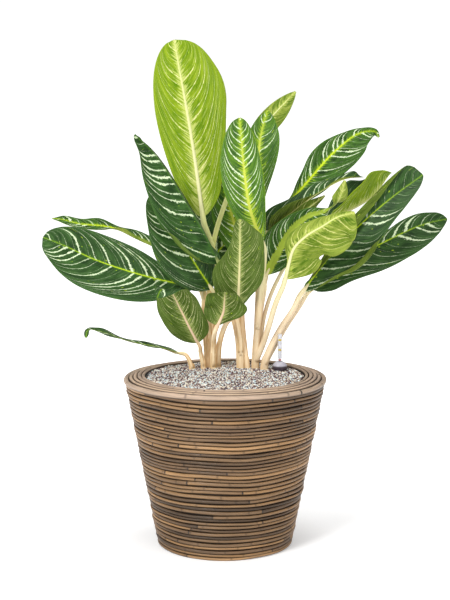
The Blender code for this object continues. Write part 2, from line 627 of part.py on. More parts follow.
def leaf_blade(name, blade, collection, material):
    """A grid moved on to the blade's surface, in triangles that its two faces then share."""
    along_steps, across_steps = blade.steps
    mesh = bpy.data.meshes.new(name)
    shape = bmesh.new()
    bmesh.ops.create_grid(shape, x_segments=along_steps, y_segments=across_steps, size=0.5)
    for vertex in shape.verts:
        along = vertex.co.x + 0.5
        across = 2 * vertex.co.y
        half = blade.right if across >= 0 else blade.left
        if isinstance(half.roll_heel, tuple):
            # Rows lie closer towards a margin that rolls over
            across = math.copysign(1 - (1 - abs(across)) ** 1.7, across)
        vertex.co = blade_point(blade, along, across) * MM
    bmesh.ops.triangulate(shape, faces=shape.faces)
    shape.to_mesh(mesh)
    shape.free()
    made = add_object(name, mesh, collection, material, smooth_angle=60)
    thick = made.modifiers.new("thickness", "SOLIDIFY")
    thick.thickness = BLADE_THICKNESS
    thick.offset = 0
    return made


def heel_approach(blade):
    """The last two points of a stalk: it runs straight at the blade's heel and stops short."""
    rib = [Vector(point) for point in blade.rib]
    direction = (spline(rib, 0.02) - rib[0]).normalized()
    return [rib[0] - direction * HEEL_RUN, rib[0] - direction * HEEL_GAP]


def rod(name, points, radii, collection):
    """A round rod through points in millimetres, tapering along its radii, as a closed mesh."""
    curve = bpy.data.curves.new(name, "CURVE")
    curve.dimensions = "3D"
    curve.bevel_depth = MM
    curve.bevel_resolution = 1
    curve.use_fill_caps = True
    line = curve.splines.new("POLY")
    line.points.add(len(points) - 1)
    for place, point, radius in zip(line.points, points, radii):
        place.co = (*(Vector(point) * MM), 1.0)
        place.radius = radius
    made = bpy.data.objects.new(name, curve)
    collection.objects.link(made)
    mesh = settled_mesh(made)
    bpy.data.objects.remove(made, do_unlink=True)
    return add_object(name, mesh, collection)


def stalk_rod(name, stalk, collection):
    route = [Vector(point) for point in stalk.points] + heel_approach(BLADES[stalk.leaf])
    length = sum((b - a).length for a, b in zip(route, route[1:]))
    pieces = max(4, round(length / STALK_SPACING))
    points = [spline(route[:-1], index / (pieces - 1)) for index in range(pieces)] + route[-1:]
    radii = [stalk.start_radius + (stalk.end_radius - stalk.start_radius) * index / pieces
             for index in range(pieces + 1)]
    return rod(name, points, radii, collection)


def sheath_rod(name, sheath, collection):
    foot = HOLE_FLOOR / MM
    soil = soil_height(sheath.x * MM, sheath.y * MM) / MM + 3
    top = (sheath.x + sheath.lean_x, sheath.y + sheath.lean_y, sheath.top)
    points = [(sheath.x, sheath.y, foot), (sheath.x, sheath.y, soil), top]
    return rod(name, points, [sheath.radius, sheath.radius, sheath.radius * 0.86], collection)


def leafy_shoot(name, sheaths, stalks, collection, material):
    """Stalks fused where they leave the sheath round their foot."""
    pieces = add_collection(name + "_pieces")
    made = sheath_rod(name, sheaths[0], collection)
    for index, sheath in enumerate(sheaths[1:]):
        sheath_rod(f"{name}_sheath_{index}", sheath, pieces)
    for stalk in stalks:
        stalk_rod(f"{name}_{stalk.leaf}", stalk, pieces)
    union_with(made, pieces)
    made.data.materials.clear()
    made.data.materials.append(material)
    made.data.shade_smooth()
    made.data.set_sharp_from_angle(angle=math.radians(50))
    return made


def build():
    clear_scene()
    pot = add_collection("potted_chinese_evergreen")
    cutters = add_collection("cutters", shown=False)
    cane = add_material("rattan_cane", (0.36, 0.25, 0.14), 0.6)
    rim = add_material("rattan_rim", (0.42, 0.31, 0.20), 0.55)
    board = add_material("plywood_board", (0.50, 0.38, 0.24), 0.7)
    black = add_material("black_plastic", (0.01, 0.01, 0.01), 0.5)
    stones = add_material("granulate_stones", (0.42, 0.38, 0.37), 0.85)
    collar = add_material("grey_plastic", (0.22, 0.20, 0.22), 0.35)
    clear = add_material("clear_plastic", (0.85, 0.86, 0.88), 0.1, alpha=0.4)
    red = add_material("red_plastic", (0.55, 0.04, 0.03), 0.4)
    flesh = add_material("ivory_stalk", IVORY, 0.45)
    greens = {LIME: add_material("lime_leaf", LIME, 0.4),
              DARK: add_material("dark_leaf", DARK, 0.35),
              OLIVE: add_material("olive_leaf", OLIVE, 0.45)}
    base_board(pot, board)
    cane_wall(pot, cane)
    cane_rim(pot, rim)
    liner(pot, black)
    granulate(pot, cutters, stones)
    water_gauge(pot, collar, clear, red)
    for name, (sheaths, stalks) in SHOOTS.items():
        leafy_shoot(name, sheaths, stalks, pot, flesh)
    for name, blade in BLADES.items():
        leaf_blade(name, blade, pot, greens[blade.colour])


build()
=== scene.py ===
"""Potted Chinese evergreen: finer pieces, finishes and a stage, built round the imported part.

The tables of the plant give its sizes in millimetres. Everything else is in metres.
"""

import math
import random
from collections import namedtuple
from functools import partial

import bmesh
import bpy
from bpy.props import FloatProperty, FloatVectorProperty, IntProperty, PointerProperty
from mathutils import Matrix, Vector


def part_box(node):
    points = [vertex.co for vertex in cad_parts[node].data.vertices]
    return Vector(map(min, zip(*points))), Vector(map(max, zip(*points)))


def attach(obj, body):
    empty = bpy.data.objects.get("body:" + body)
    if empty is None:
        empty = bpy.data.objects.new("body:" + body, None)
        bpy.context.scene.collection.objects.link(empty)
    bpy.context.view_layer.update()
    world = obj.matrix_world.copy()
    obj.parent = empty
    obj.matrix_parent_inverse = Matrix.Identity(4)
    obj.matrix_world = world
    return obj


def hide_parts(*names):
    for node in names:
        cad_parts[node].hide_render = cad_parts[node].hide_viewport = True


bl_info = {
    "name": "Potted Chinese evergreen",
    "version": (1, 0, 0),
    "blender": (4, 5, 0),
    "location": "3D View > Sidebar > Evergreen",
    "description": "Dresses a potted Chinese evergreen: blades, stalks, cane pot, grains and gauge",
    "category": "Object",
}

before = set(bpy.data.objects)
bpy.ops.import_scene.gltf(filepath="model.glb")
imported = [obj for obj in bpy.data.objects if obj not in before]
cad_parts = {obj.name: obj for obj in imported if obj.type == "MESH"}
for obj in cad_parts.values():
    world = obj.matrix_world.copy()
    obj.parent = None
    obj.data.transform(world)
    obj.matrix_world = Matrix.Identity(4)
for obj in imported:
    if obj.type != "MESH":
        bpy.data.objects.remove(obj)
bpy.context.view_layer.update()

MM = 0.001
RIM_LOW, RIM_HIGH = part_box("cane_rim")
RIM_RADIUS, _, POT_TOP = RIM_HIGH
RIM_INNER = 0.1372
WALL_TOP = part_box("cane_wall")[1][2]
LINER_RADIUS, _, LINER_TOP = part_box("liner")[1]
COLLAR_LOW, COLLAR_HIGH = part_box("gauge_collar")
TUBE_LOW, TUBE_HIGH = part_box("gauge_tube")
FLOAT_LOW, FLOAT_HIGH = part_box("gauge_float")

# Height of the grains at the liner, and how much higher they are heaped in the middle
SOIL_EDGE = 0.2910
SOIL_HEAP = 0.0040
# The least half width of a blade, in millimetres
HEEL_HALF_WIDTH = 2.0

# One half of a blade, seen on its upper side with the tip up: greatest width, where along it that
# lies, how pointed heel and tip are, the angle at which it rises from the midrib, the further
# angles at heel and tip through which its margin rolls, where across that roll lies and how soft
# it is. Rows of numbers, spaced evenly from heel to tip, may stand for the width, the roll and
# where the roll lies. With a row of widths, heel and tip are the shares over which it closes.
Half = namedtuple("Half", "width widest heel tip rise roll_heel roll_tip roll_at softness",
                  defaults=(8, 0, 0, 0.7, 0.28))
# rib: the midrib from heel to tip. faces: where the upper side looks, at one or more places evenly
# spaced from heel to tip. top and under: its finishes.
# keel: the finish of the midrib's underside. slot: its material slot in the record. wave: how many
# waves the margin has, how high they are and where they start. corner: a side that is widened,
# where along it, over how long and by what share. veins: how steeply side veins leave the midrib,
# and how much more they lean at the margin. apart: how much wider apart they lie than usual.
Blade = namedtuple("Blade", "rib faces left right top under keel slot wave corner veins apart",
                   defaults=("dark", "olive", "tan", "dark_leaf", (2.5, 2.0, 0.0), None,
                             (0.75, 1.4), 1.0))
# points: the stalk's route out of its shoot, which goes on to the heel of its blade
Stalk = namedtuple("Stalk", "leaf points start_radius end_radius")
# x and y: where the sheath stands. top: how high it ends, its middle moved by lean_x and lean_y
Sheath = namedtuple("Sheath", "x y radius top lean_x lean_y")

BLADES = {
    "leaf_tall": Blade(
        [(-38, 50, 562), (-55, 54, 682), (-69, 42, 768), (-79, 20, 826), (-85, 8, 863)],
        [(0.1, 1, 0.1), (0, 1, -0.2)],
        Half((12, 33.5, 44, 52, 59.5, 65.5, 71, 69, 59, 45, 24), 0.5, 0.05, 0.05, 6),
        Half(55, 0.52, 0.5, 0.45, 6),
        "dark", "lime", "pale", "lime_leaf", veins=(0.9, 2.0), apart=1.1),
    "leaf_left_upper": Blade(
        [(-10, 12, 485), (-35, 4, 537), (-66, -6, 591), (-103, -25, 654), (-127, -42, 686),
         (-149, -58, 707)],
        [(0.25, -1, 0.1)],
        Half((14, 42, 58, 64, 60, 56, 50, 42, 31, 17, 6), 0.5, 0.1, 0.04, 4,
             (160, 160, 160, 140, 30, 0, 0, 0, 0, 0, 0), 0, 0.85, 0.1),
        Half(30, 0.45, 0.8, 1.0, -72),
        "folded", "olive", "green", "dark_leaf", apart=1.15),
    "leaf_left_middle": Blade(
        [(-23, 32, 439), (-59, 30, 495), (-94, 30, 555), (-130, 35, 599)],
        [(0, -1, 0.45)],
        Half(56, 0.42, 0.75, 0.6, 8), Half(40, 0.45, 0.8, 0.6, 15),
        apart=1.1),
    "leaf_left_thin": Blade(
        [(-114, 100, 502), (-139, 106, 513), (-166, 112, 525), (-188, 117, 534),
         (-215, 125, 539), (-260, 138, 542), (-294, 150, 549), (-311, 158, 550)],
        [(0, -0.3, 0.9), (0, -0.2, 0.95), (0, -0.5, 0.8), (0, -0.4, 0.9)],
        Half((12, 14, 16, 16, 13, 11, 15, 15, 13, 8, 3), 0.5, 0.1, 0.06, 5,
             (150, 150, 150, 140, 60, 0, 0, 0, 0, 0, 0), 0, 0.6, 0.15),
        Half((16, 20, 20, 16, 11, 13, 17, 15, 13, 10, 3), 0.5, 0.1, 0.06, 10),
        "fresh", "pale", "pale", "dark_leaf", wave=(3.0, 1.5, 0.8)),
    "leaf_left_broad": Blade(
        [(-48, 50, 440), (-121, 48, 455), (-223, 50, 487), (-285, 45, 516), (-314, 40, 528)],
        [(0, -1, 0.5), (-0.1, -1, 0.5)],
        Half(60, 0.54, 0.75, 0.45), Half(47, 0.58, 0.9, 0.5)),
    "leaf_low_left": Blade(
        [(-47, 30, 345), (-60, 15, 372), (-76, 0, 408), (-93, -14, 441), (-108, -34, 446),
         (-114, -42, 434)],
        [(0.2, 1, 0.2), (0.2, 1, 0.1), (0, 0.3, 1), (0.2, -1, 0.7)],
        Half((12, 27, 33, 34, 34, 35, 36, 35, 30, 20, 8), 0.5, 0.08, 0.06, 6),
        Half((14, 27, 35, 40, 42, 43, 41, 36, 22, 10, 4), 0.5, 0.08, 0.06, 6),
        "dark", "olive", "pink", "olive_leaf"),
    "leaf_low_front": Blade(
        [(-13, 4, 379), (-3, -8, 404), (-1, -22, 426), (0, -38, 443)],
        [(0, 1, 0.2), (0, 1, 0)],
        Half(30, 0.62, 0.6, 0.5, 6),
        Half((20, 27, 32, 33, 33, 33, 33, 32, 30, 26, 18), 0.5, 0.08, 0.12, 6),
        "dark", "olive", "pink", "olive_leaf", corner=("left", 0.42, 0.14, 0.5)),
    "leaf_front_olive": Blade(
        [(22, 6, 411), (24, -6, 462), (25, -28, 514), (25, -55, 568)],
        [(0, 1, 0.3)],
        Half((10, 19, 33, 41, 43, 43, 42, 41, 37, 21, 8), 0.5, 0.08, 0.05),
        Half((18, 36, 43, 46, 44, 35, 25, 17, 13, 11, 7), 0.5, 0.08, 0.05),
        "dark", "olive", "tan", "olive_leaf", apart=0.8),
    "leaf_centre": Blade(
        [(63, 4, 522), (42, -6, 582), (32, -12, 647), (27, -18, 702), (24, -20, 734)],
        [(0, -1, 0), (0, -1, 0.2)],
        Half(40, 0.55, 0.75, 0.5), Half(34, 0.5, 0.7, 0.5, 10, 35, 35),
        "bright", "lime", "pale", "dark_leaf", apart=0.85),
    "leaf_centre_back": Blade(
        [(62, 64, 564), (58, 72, 624), (59, 82, 676), (65, 92, 714), (74, 100, 744)],
        [(0, -1, 0)],
        Half(26, 0.55, 0.75, 0.8, 10), Half(35, 0.62, 0.8, 0.6, 10),
        "bright", "lime", "pale", "dark_leaf"),
    "leaf_back_pale": Blade(
        [(32, 112, 661), (58, 125, 704), (90, 138, 740), (125, 150, 776)],
        [(0, 1, 0)],
        Half(22, 0.55, 0.75, 0.7, 10), Half(18, 0.55, 0.75, 0.7, 10),
        "dark", "pale", "pale", "olive_leaf"),
    "leaf_right_upper": Blade(
        [(106, 100, 575), (146, 125, 618), (198, 155, 672), (243, 176, 702), (272, 188, 703),
         (278, 192, 694)],
        [(0, -1, 0.4)],
        Half((4, 6, 14, 21, 28, 27.5, 22.5, 15, 9, 6, 3), 0.5, 0.05, 0.04),
        Half((8, 20, 30, 37, 41, 43, 42, 37, 25, 10, 3), 0.5, 0.1, 0.04),
        "fresh", "olive", "tan", "dark_leaf", apart=0.9),
    "leaf_right_long": Blade(
        [(68, 52, 533), (113, 57, 567), (161, 64, 602), (209, 74, 626), (242, 80, 629)],
        [(-0.2, 0, 1)],
        Half((10, 27, 30, 27, 21, 18, 17, 13, 9, 12, 13), 0.5, 0.08, 0.03, 62, 8, 8),
        Half((5, 19, 25, 20, 11, 5, 3, 3, 3, 3, 3), 0.5, 0.08, 0.05, 50, 24, 24),
        "dark", "mottled", "pale", "olive_leaf", apart=0.8),
    "leaf_right_olive": Blade(
        [(72, 43, 522), (103, 46, 544), (138, 48, 573), (172, 50, 599)],
        [(-0.15, 0.9, 0.5)],
        Half(15, 0.5, 0.7, 0.7, 10), Half(14, 0.5, 0.7, 0.7, 10),
        "dark", "mottled", "pale", "olive_leaf"),
    "leaf_right_pale": Blade(
        [(103, 16, 458), (109, 6, 487), (117, -6, 514), (138, -20, 537), (163, -34, 554),
         (188, -48, 571), (215, -58, 579)],
        [(0, 1, 0.1)],
        Half((18, 44, 53, 53, 45, 46, 56, 58, 53, 48, 40), 0.5, 0.08, 0.08, 5),
        Half((4, 3, 5, 16, 23, 21, 17, 14, 9, 6, 4), 0.5, 0.1, 0.05, 12),
        "dark", "pale", "pale", "lime_leaf", wave=(2.5, 3.6, 1.8), veins=(0.5, 1.2), apart=1.5),
    "leaf_right_inner": Blade(
        [(71, 34, 464), (90, 31, 500), (113, 26, 540), (142, 20, 566), (172, 14, 576),
         (189, 10, 588), (197, 9, 604), (203, 8, 628)],
        [(0.2, -1, 0.4), (0.2, -1, 0.4), (0.1, -1, 0.4), (0.1, -1, 0.4), (0, -1, 0.4),
         (0, -1, 0.4), (-0.85, -0.1, 0.5), (0, 1, 0.1), (0, 1, 0.1)],
        Half((16, 30, 36, 32, 24, 16, 11, 6, 13, 11, 3), 0.5, 0.08, 0.04, 12),
        Half((10, 22, 30, 33, 32, 28, 20, 7, 13, 10, 3), 0.5, 0.08, 0.04, 12),
        "banded", "pale", "tan", "dark_leaf", apart=0.8),
    "leaf_right_lime": Blade(
        [(174, 68, 552), (218, 80, 570), (258, 95, 593), (293, 120, 634)],
        [(-0.6, 0, 0.8)],
        Half((3, 20, 34, 42, 46, 46, 42, 36, 28, 18, 6), 0.5, 0.08, 0.06, 82),
        Half((3, 15, 22, 26, 34, 42, 47, 47, 41, 27, 10), 0.5, 0.08, 0.06, 52),
        "dark", "lime", "pale", "lime_leaf"),
    "leaf_right_rolled": Blade(
        [(136, 50, 433), (182, 45, 495), (231, 38, 548), (286, 28, 598), (336, 15, 637)],
        [(0, -1, 0.4)],
        Half((5, 10, 18, 28, 36, 40, 40, 39, 39, 35, 28), 0.5, 0.12, 0.06, 8,
             (120, 140, 150, 155, 155, 155, 155, 155, 155, 150, 80), 0,
             (0.45, 0.45, 0.45, 0.45, 0.45, 0.48, 0.54, 0.62, 0.72, 0.86, 1.0), 0.15),
        Half((14, 28, 45, 63, 68, 62, 43, 35, 29, 20, 9), 0.5, 0.12, 0.06, 8,
             (150, 155, 160, 165, 165, 150, 20, 0, 0, 0, 0), 0, 0.84, 0.1),
        "dark", "mottled", "tan", "dark_leaf", apart=1.5),
    "leaf_right_lower": Blade(
        [(153, 75, 433), (212, 90, 479), (274, 105, 509), (355, 125, 543), (396, 135, 551)],
        [(0, -1, 0.5)],
        Half((4, 8, 12, 14, 15, 16, 17, 22, 22, 17, 14), 0.5, 0.12, 0.08),
        Half((20, 29, 35, 42, 47, 48, 47, 45, 38, 25, 6), 0.5, 0.12, 0.04),
        apart=1.4),
    "leaf_low_left_thin": Blade(
        [(-77, 45, 324), (-113, 35, 336), (-164, 20, 349), (-218, 5, 370), (-234, -2, 373),
         (-238, -6, 360)],
        [(0, -0.1, 1), (0, -0.2, 1)],
        Half((4, 8, 8, 8, 9, 9, 10, 13, 10, 6, 4), 0.5, 0.08, 0.06, 8),
        Half((4, 14, 16, 11, 9, 11, 12, 13, 9, 6, 5), 0.5, 0.08, 0.06, 8)),
    "leaf_inner_upper": Blade(
        [(30, 106, 479), (18, 118, 538), (7, 130, 580), (2, 140, 625)],
        [(0, -1, 0.2)],
        Half(36, 0.5, 0.7, 0.7), Half(32, 0.5, 0.7, 0.7),
        "bright", "olive", "tan", "dark_leaf"),
    "leaf_inner_small": Blade(
        [(-23, 124, 478), (-10, 128, 496), (4, 132, 511), (20, 138, 530)],
        [(0, -1, 0.3)],
        Half(22, 0.5, 0.7, 0.7), Half(22, 0.5, 0.7, 0.7)),
    "leaf_inner_back": Blade(
        [(-14, 146, 468), (-28, 150, 514), (-39, 154, 559), (-44, 157, 594)],
        [(0, -1, 0.3)],
        Half(26, 0.5, 0.7, 0.7), Half(26, 0.5, 0.7, 0.7)),
}

SHOOTS = {
    "shoot_far_left": (
        [Sheath(-58, 50, 5.5, 305, -1, 0)],
        [Stalk("leaf_low_left_thin", [(-58, 50, 297), (-63, 48, 313)], 4.8, 3.2)]),
    "shoot_low_left": (
        [Sheath(-38, 54, 4.8, 312, -1, -2)],
        [Stalk("leaf_low_left", [(-38, 54, 300), (-43, 46, 326)], 4.2, 3.0)]),
    "shoot_left": (
        [Sheath(-30, 69, 9.0, 376, 6, -6)],
        [Stalk("leaf_left_broad", [(-32, 66, 324), (-34, 63, 350), (-37, 55, 385), (-37, 51, 408)],
               5.4, 3.8),
         Stalk("leaf_left_middle", [(-28, 66, 320), (-27, 61, 350), (-29, 51, 385), (-30, 42, 411)],
               5.2, 3.6),
         Stalk("leaf_left_thin", [(-31, 69, 326), (-32, 73, 387), (-46, 86, 437), (-79, 95, 477)],
               4.8, 3.0),
         Stalk("leaf_back_pale", [(-29, 70, 322), (-28, 80, 413), (-26, 88, 479), (-14, 94, 539),
                                  (9, 102, 605)], 4.9, 3.8)]),
    "shoot_front": (
        [Sheath(-21, 55, 5.8, 328, 0.5, -8)],
        [Stalk("leaf_low_front", [(-21, 54, 300), (-20, 42, 339)], 5.2, 3.8)]),
    "shoot_front_inner": (
        [Sheath(-12.8, 65.5, 5.2, 342, 2.5, -11)],
        [Stalk("leaf_front_olive", [(-12.8, 64, 300), (-10, 54, 337), (3, 32, 380)], 5.0, 4.0)]),
    "shoot_middle": (
        [Sheath(27, 57, 7.2, 345, -2, -1), Sheath(38.5, 58, 5.4, 318, -2, 2)],
        [Stalk("leaf_tall", [(26, 57, 318), (24, 57, 345), (16, 54, 385), (-8, 53, 461),
                             (-29, 53, 530)], 6.6, 4.8),
         Stalk("leaf_left_upper", [(26, 55, 324), (26, 53, 345), (19, 42, 387), (5, 26, 435)],
               5.6, 3.8),
         Stalk("leaf_inner_upper", [(38, 59, 300), (34, 63, 336), (30, 76, 387), (32, 94, 439)],
               5.2, 3.6),
         Stalk("leaf_inner_small", [(37.5, 60, 308), (33, 65, 336), (22, 82, 387), (-2, 106, 439)],
               4.4, 2.8),
         Stalk("leaf_inner_back", [(37, 60, 304), (34, 67, 336), (23, 90, 386), (4, 122, 430)],
               4.2, 2.8)]),
    "shoot_right_middle": (
        [Sheath(53, 60, 6.8, 352, 2, -7)],
        [Stalk("leaf_centre", [(54, 57, 320), (55, 53, 346), (59, 38, 401), (64, 18, 465)],
               6.2, 4.8),
         Stalk("leaf_centre_back", [(54, 56, 335), (56, 58, 385), (58, 62, 440), (61, 64, 504)],
               5.0, 3.6),
         Stalk("leaf_right_long", [(57, 45, 376), (62, 46, 430), (63, 49, 485)], 4.6, 3.4),
         Stalk("leaf_right_olive", [(58, 40, 392), (67, 41, 440), (70, 43, 485)], 4.2, 2.6),
         Stalk("leaf_right_upper", [(55, 55, 340), (62, 68, 400), (75, 84, 470), (90, 94, 539)],
               4.8, 3.6),
         Stalk("leaf_right_inner", [(57, 46, 366), (64, 43, 410), (69, 38, 446)], 4.4, 3.2),
         Stalk("leaf_right_lime", [(54, 57, 324), (62, 57, 350), (68, 53, 387), (79, 54, 424),
                                   (95, 56, 459), (117, 58, 497), (144, 62, 531)], 4.2, 2.8),
         Stalk("leaf_right_pale", [(54, 58, 308), (64, 51, 333), (75, 42, 368), (88, 30, 415)],
               5.4, 4.4)]),
    "shoot_right": (
        [Sheath(68, 49, 7.0, 318, 4, 2)],
        [Stalk("leaf_right_rolled", [(68, 49, 304), (79, 53, 330), (99, 57, 368), (119, 49, 401)],
               6.2, 4.2),
         Stalk("leaf_right_lower", [(70, 50, 306), (84, 57, 330), (106, 64, 367), (132, 67, 406)],
               5.4, 3.8)]),
}


def linear(code):
    """A hex colour code as the linear red, green and blue that shaders work in."""
    parts = [int(code[i:i + 2], 16) / 255 for i in (1, 3, 5)]
    return tuple(p / 12.92 if p <= 0.04045 else ((p + 0.055) / 1.055) ** 2.4 for p in parts)


def rgba(colour):
    return (*(linear(colour) if isinstance(colour, str) else colour), 1.0)


def metres(name, default, least, about):
    return FloatProperty(name=name, default=default, min=least, unit="LENGTH", description=about)


def tint(name, colour, about):
    return FloatVectorProperty(name=name, default=linear(colour), min=0, max=1, subtype="COLOR",
                               description=about)


class EvergreenPlant(bpy.types.PropertyGroup):
    """Sizes and colours of the plant."""

    vein_pitch: metres(
        "Vein spacing", 0.014, 0.004, "Distance between two side veins along the midrib")
    blade_thickness: metres("Blade thickness", 0.0005, 0.0002, "Thickness of a blade")
    stripe_width: metres(
        "Stripe half width", 0.0023, 0.0, "Half the width of the broadest pale stripe")
    dark_green: tint("Dark green", "#193013", "Ground colour of a blade's upper side")
    stripe: tint("Stripe", "#C3D2AC", "Colour of the stripes along the side veins")
    lime: tint("Lime underside", "#4F7206", "Underside of the young blades")
    olive: tint("Olive underside", "#32480F", "Underside of the old blades")
    stalk: tint("Stalk", "#FFE9C2", "Colour of the leaf stalks")


class EvergreenPot(bpy.types.PropertyGroup):
    """Sizes and colours of the pot, the granulate and the gauge."""

    courses: IntProperty(
        name="Courses", default=43, min=10, max=80, description="Courses of cane up the wall")
    foot_radius: metres("Foot radius", 0.1175, 0.05, "Outer radius of the wall at the floor")
    cane_wander: metres("Cane wander", 0.001, 0.0, "How far a cane strays from its course")
    cane: tint("Cane", "#7C6042", "Middle colour of the wall's canes")
    rim_cane: tint("Rim cane", "#A8917B", "Middle colour of the rim's canes")
    grain_size: metres("Grain size", 0.0037, 0.001, "Width of a middling grain of granulate")
    grain_seed: IntProperty(
        name="Grain seed", default=4, min=0, description="Draws another scatter of grains")


def feed(tree, socket, value):
    """Sets a socket to a value, or links it to a socket or to a node's first open output."""
    if isinstance(value, bpy.types.Node):
        value = next(output for output in value.outputs if output.enabled)
    if isinstance(value, bpy.types.NodeSocket):
        tree.links.new(value, socket)
    else:
        socket.default_value = value


def add(tree, kind, *values, **named):
    """Adds a node. The values feed its open inputs in order.

    A name with a capital is that of an input, with _ for a space. Others are settings.
    """
    node = tree.nodes.new(kind if "Node" in kind else "ShaderNode" + kind)
    for name, value in named.items():
        if name.islower():
            setattr(node, name, value)
    sockets = [socket for socket in node.inputs if socket.enabled]
    for socket, value in zip(sockets, values):
        feed(tree, socket, value)
    for name, value in named.items():
        if not name.islower():
            feed(tree, next(s for s in sockets if s.name == name.replace("_", " ")), value)
    return node


def new_material(name, roughness, ior=1.45, specular=0.5, alpha=1.0):
    """A material, a function that adds a node to it and one that feeds its Principled shader."""
    material = bpy.data.materials.new(name)
    material.use_nodes = True
    tree = material.node_tree
    shader = tree.nodes["Principled BSDF"]

    def paint(socket, value):
        feed(tree, shader.inputs[socket], value)

    for socket, value in (("Roughness", roughness), ("IOR", ior), ("Specular IOR Level", specular),
                          ("Alpha", alpha)):
        paint(socket, value)
    return material, partial(add, tree), paint


def bump(node, paint, height, distance, strength):
    paint("Normal", node("Bump", Height=height, Distance=distance, Strength=strength))


def fill_ramp(ramp, steps):
    """Gives a colour ramp its steps, each a position and a colour."""
    while len(ramp.elements) < len(steps):
        ramp.elements.new(0.5)
    for element, (position, colour) in zip(ramp.elements, steps):
        element.position = position
        element.color = rgba(colour)


# Colours of a blade's two kinds of side. rib and fringe are half widths in millimetres: the bare
# midrib, and the fringe of its colour that runs out along the side veins. bold and thin are the
# half widths of the broadest and the narrowest stripe, and amount how much of its colour a stripe
# has. feather is the share of pale colour in the finest lines, and pitch the side veins' spacing
# as a share of the usual.
Look = namedtuple("Look", "ground shade stripe rib_colour fringe_colour rib fringe bold thin "
                  "amount feather pitch", defaults=(0.3, 1.0))


def looks(plant):
    bold = plant.stripe_width / MM
    dark, stripe, lime, olive = (
        tuple(colour) for colour in (plant.dark_green, plant.stripe, plant.lime, plant.olive))
    return {
        "dark": Look(dark, "#3C5E2B", stripe, "#A3B91F", "#5F8A1B", 0.8, 4.0, bold, 0.3, 1.0),
        "folded": Look(dark, "#3C5E2B", stripe, "#3B5C2A", "#48721F", 0.5, 3.0, bold, 0.3, 1.0),
        "fresh": Look(dark, "#4B7429", stripe, "#B7C92A", "#86A620", 1.4, 8.0, bold, 0.35, 1.0),
        "bright": Look("#24461B", "#5A821C", stripe, "#B3BB48", "#93AD2A", 2.0, 15.0, bold * 0.7,
                       0.4, 1.0),
        "banded": Look(dark, "#4B7429", stripe, "#93A63A", "#86A620", 5.0, 7.0, bold * 0.75, 0.3,
                       1.0),
        "lime": Look(lime, "#8A9F20", "#CFCF8C", "#CDCA9C", "#B3BB66", 2.2, 19.0, 1.1, 0.35, 0.95,
                     0.5, 0.8),
        "mottled": Look("#33470B", "#62752A", "#BDBB78", "#D3C894", "#8B9A3C", 1.4, 9.0, 0.9, 0.25,
                        0.8, 0.32, 0.75),
        "olive": Look(olive, "#5C7130", "#BCBF85", "#C9B48A", "#959F5C", 1.4, 12.0, 0.8, 0.3,
                      0.9, 0.5, 0.62),
        "pale": Look("#456310", "#8F9C40", "#C2C276", "#CBC48A", "#A8B456", 1.0, 12.0, 1.0, 0.3,
                     0.8, 0.4, 0.75),
    }


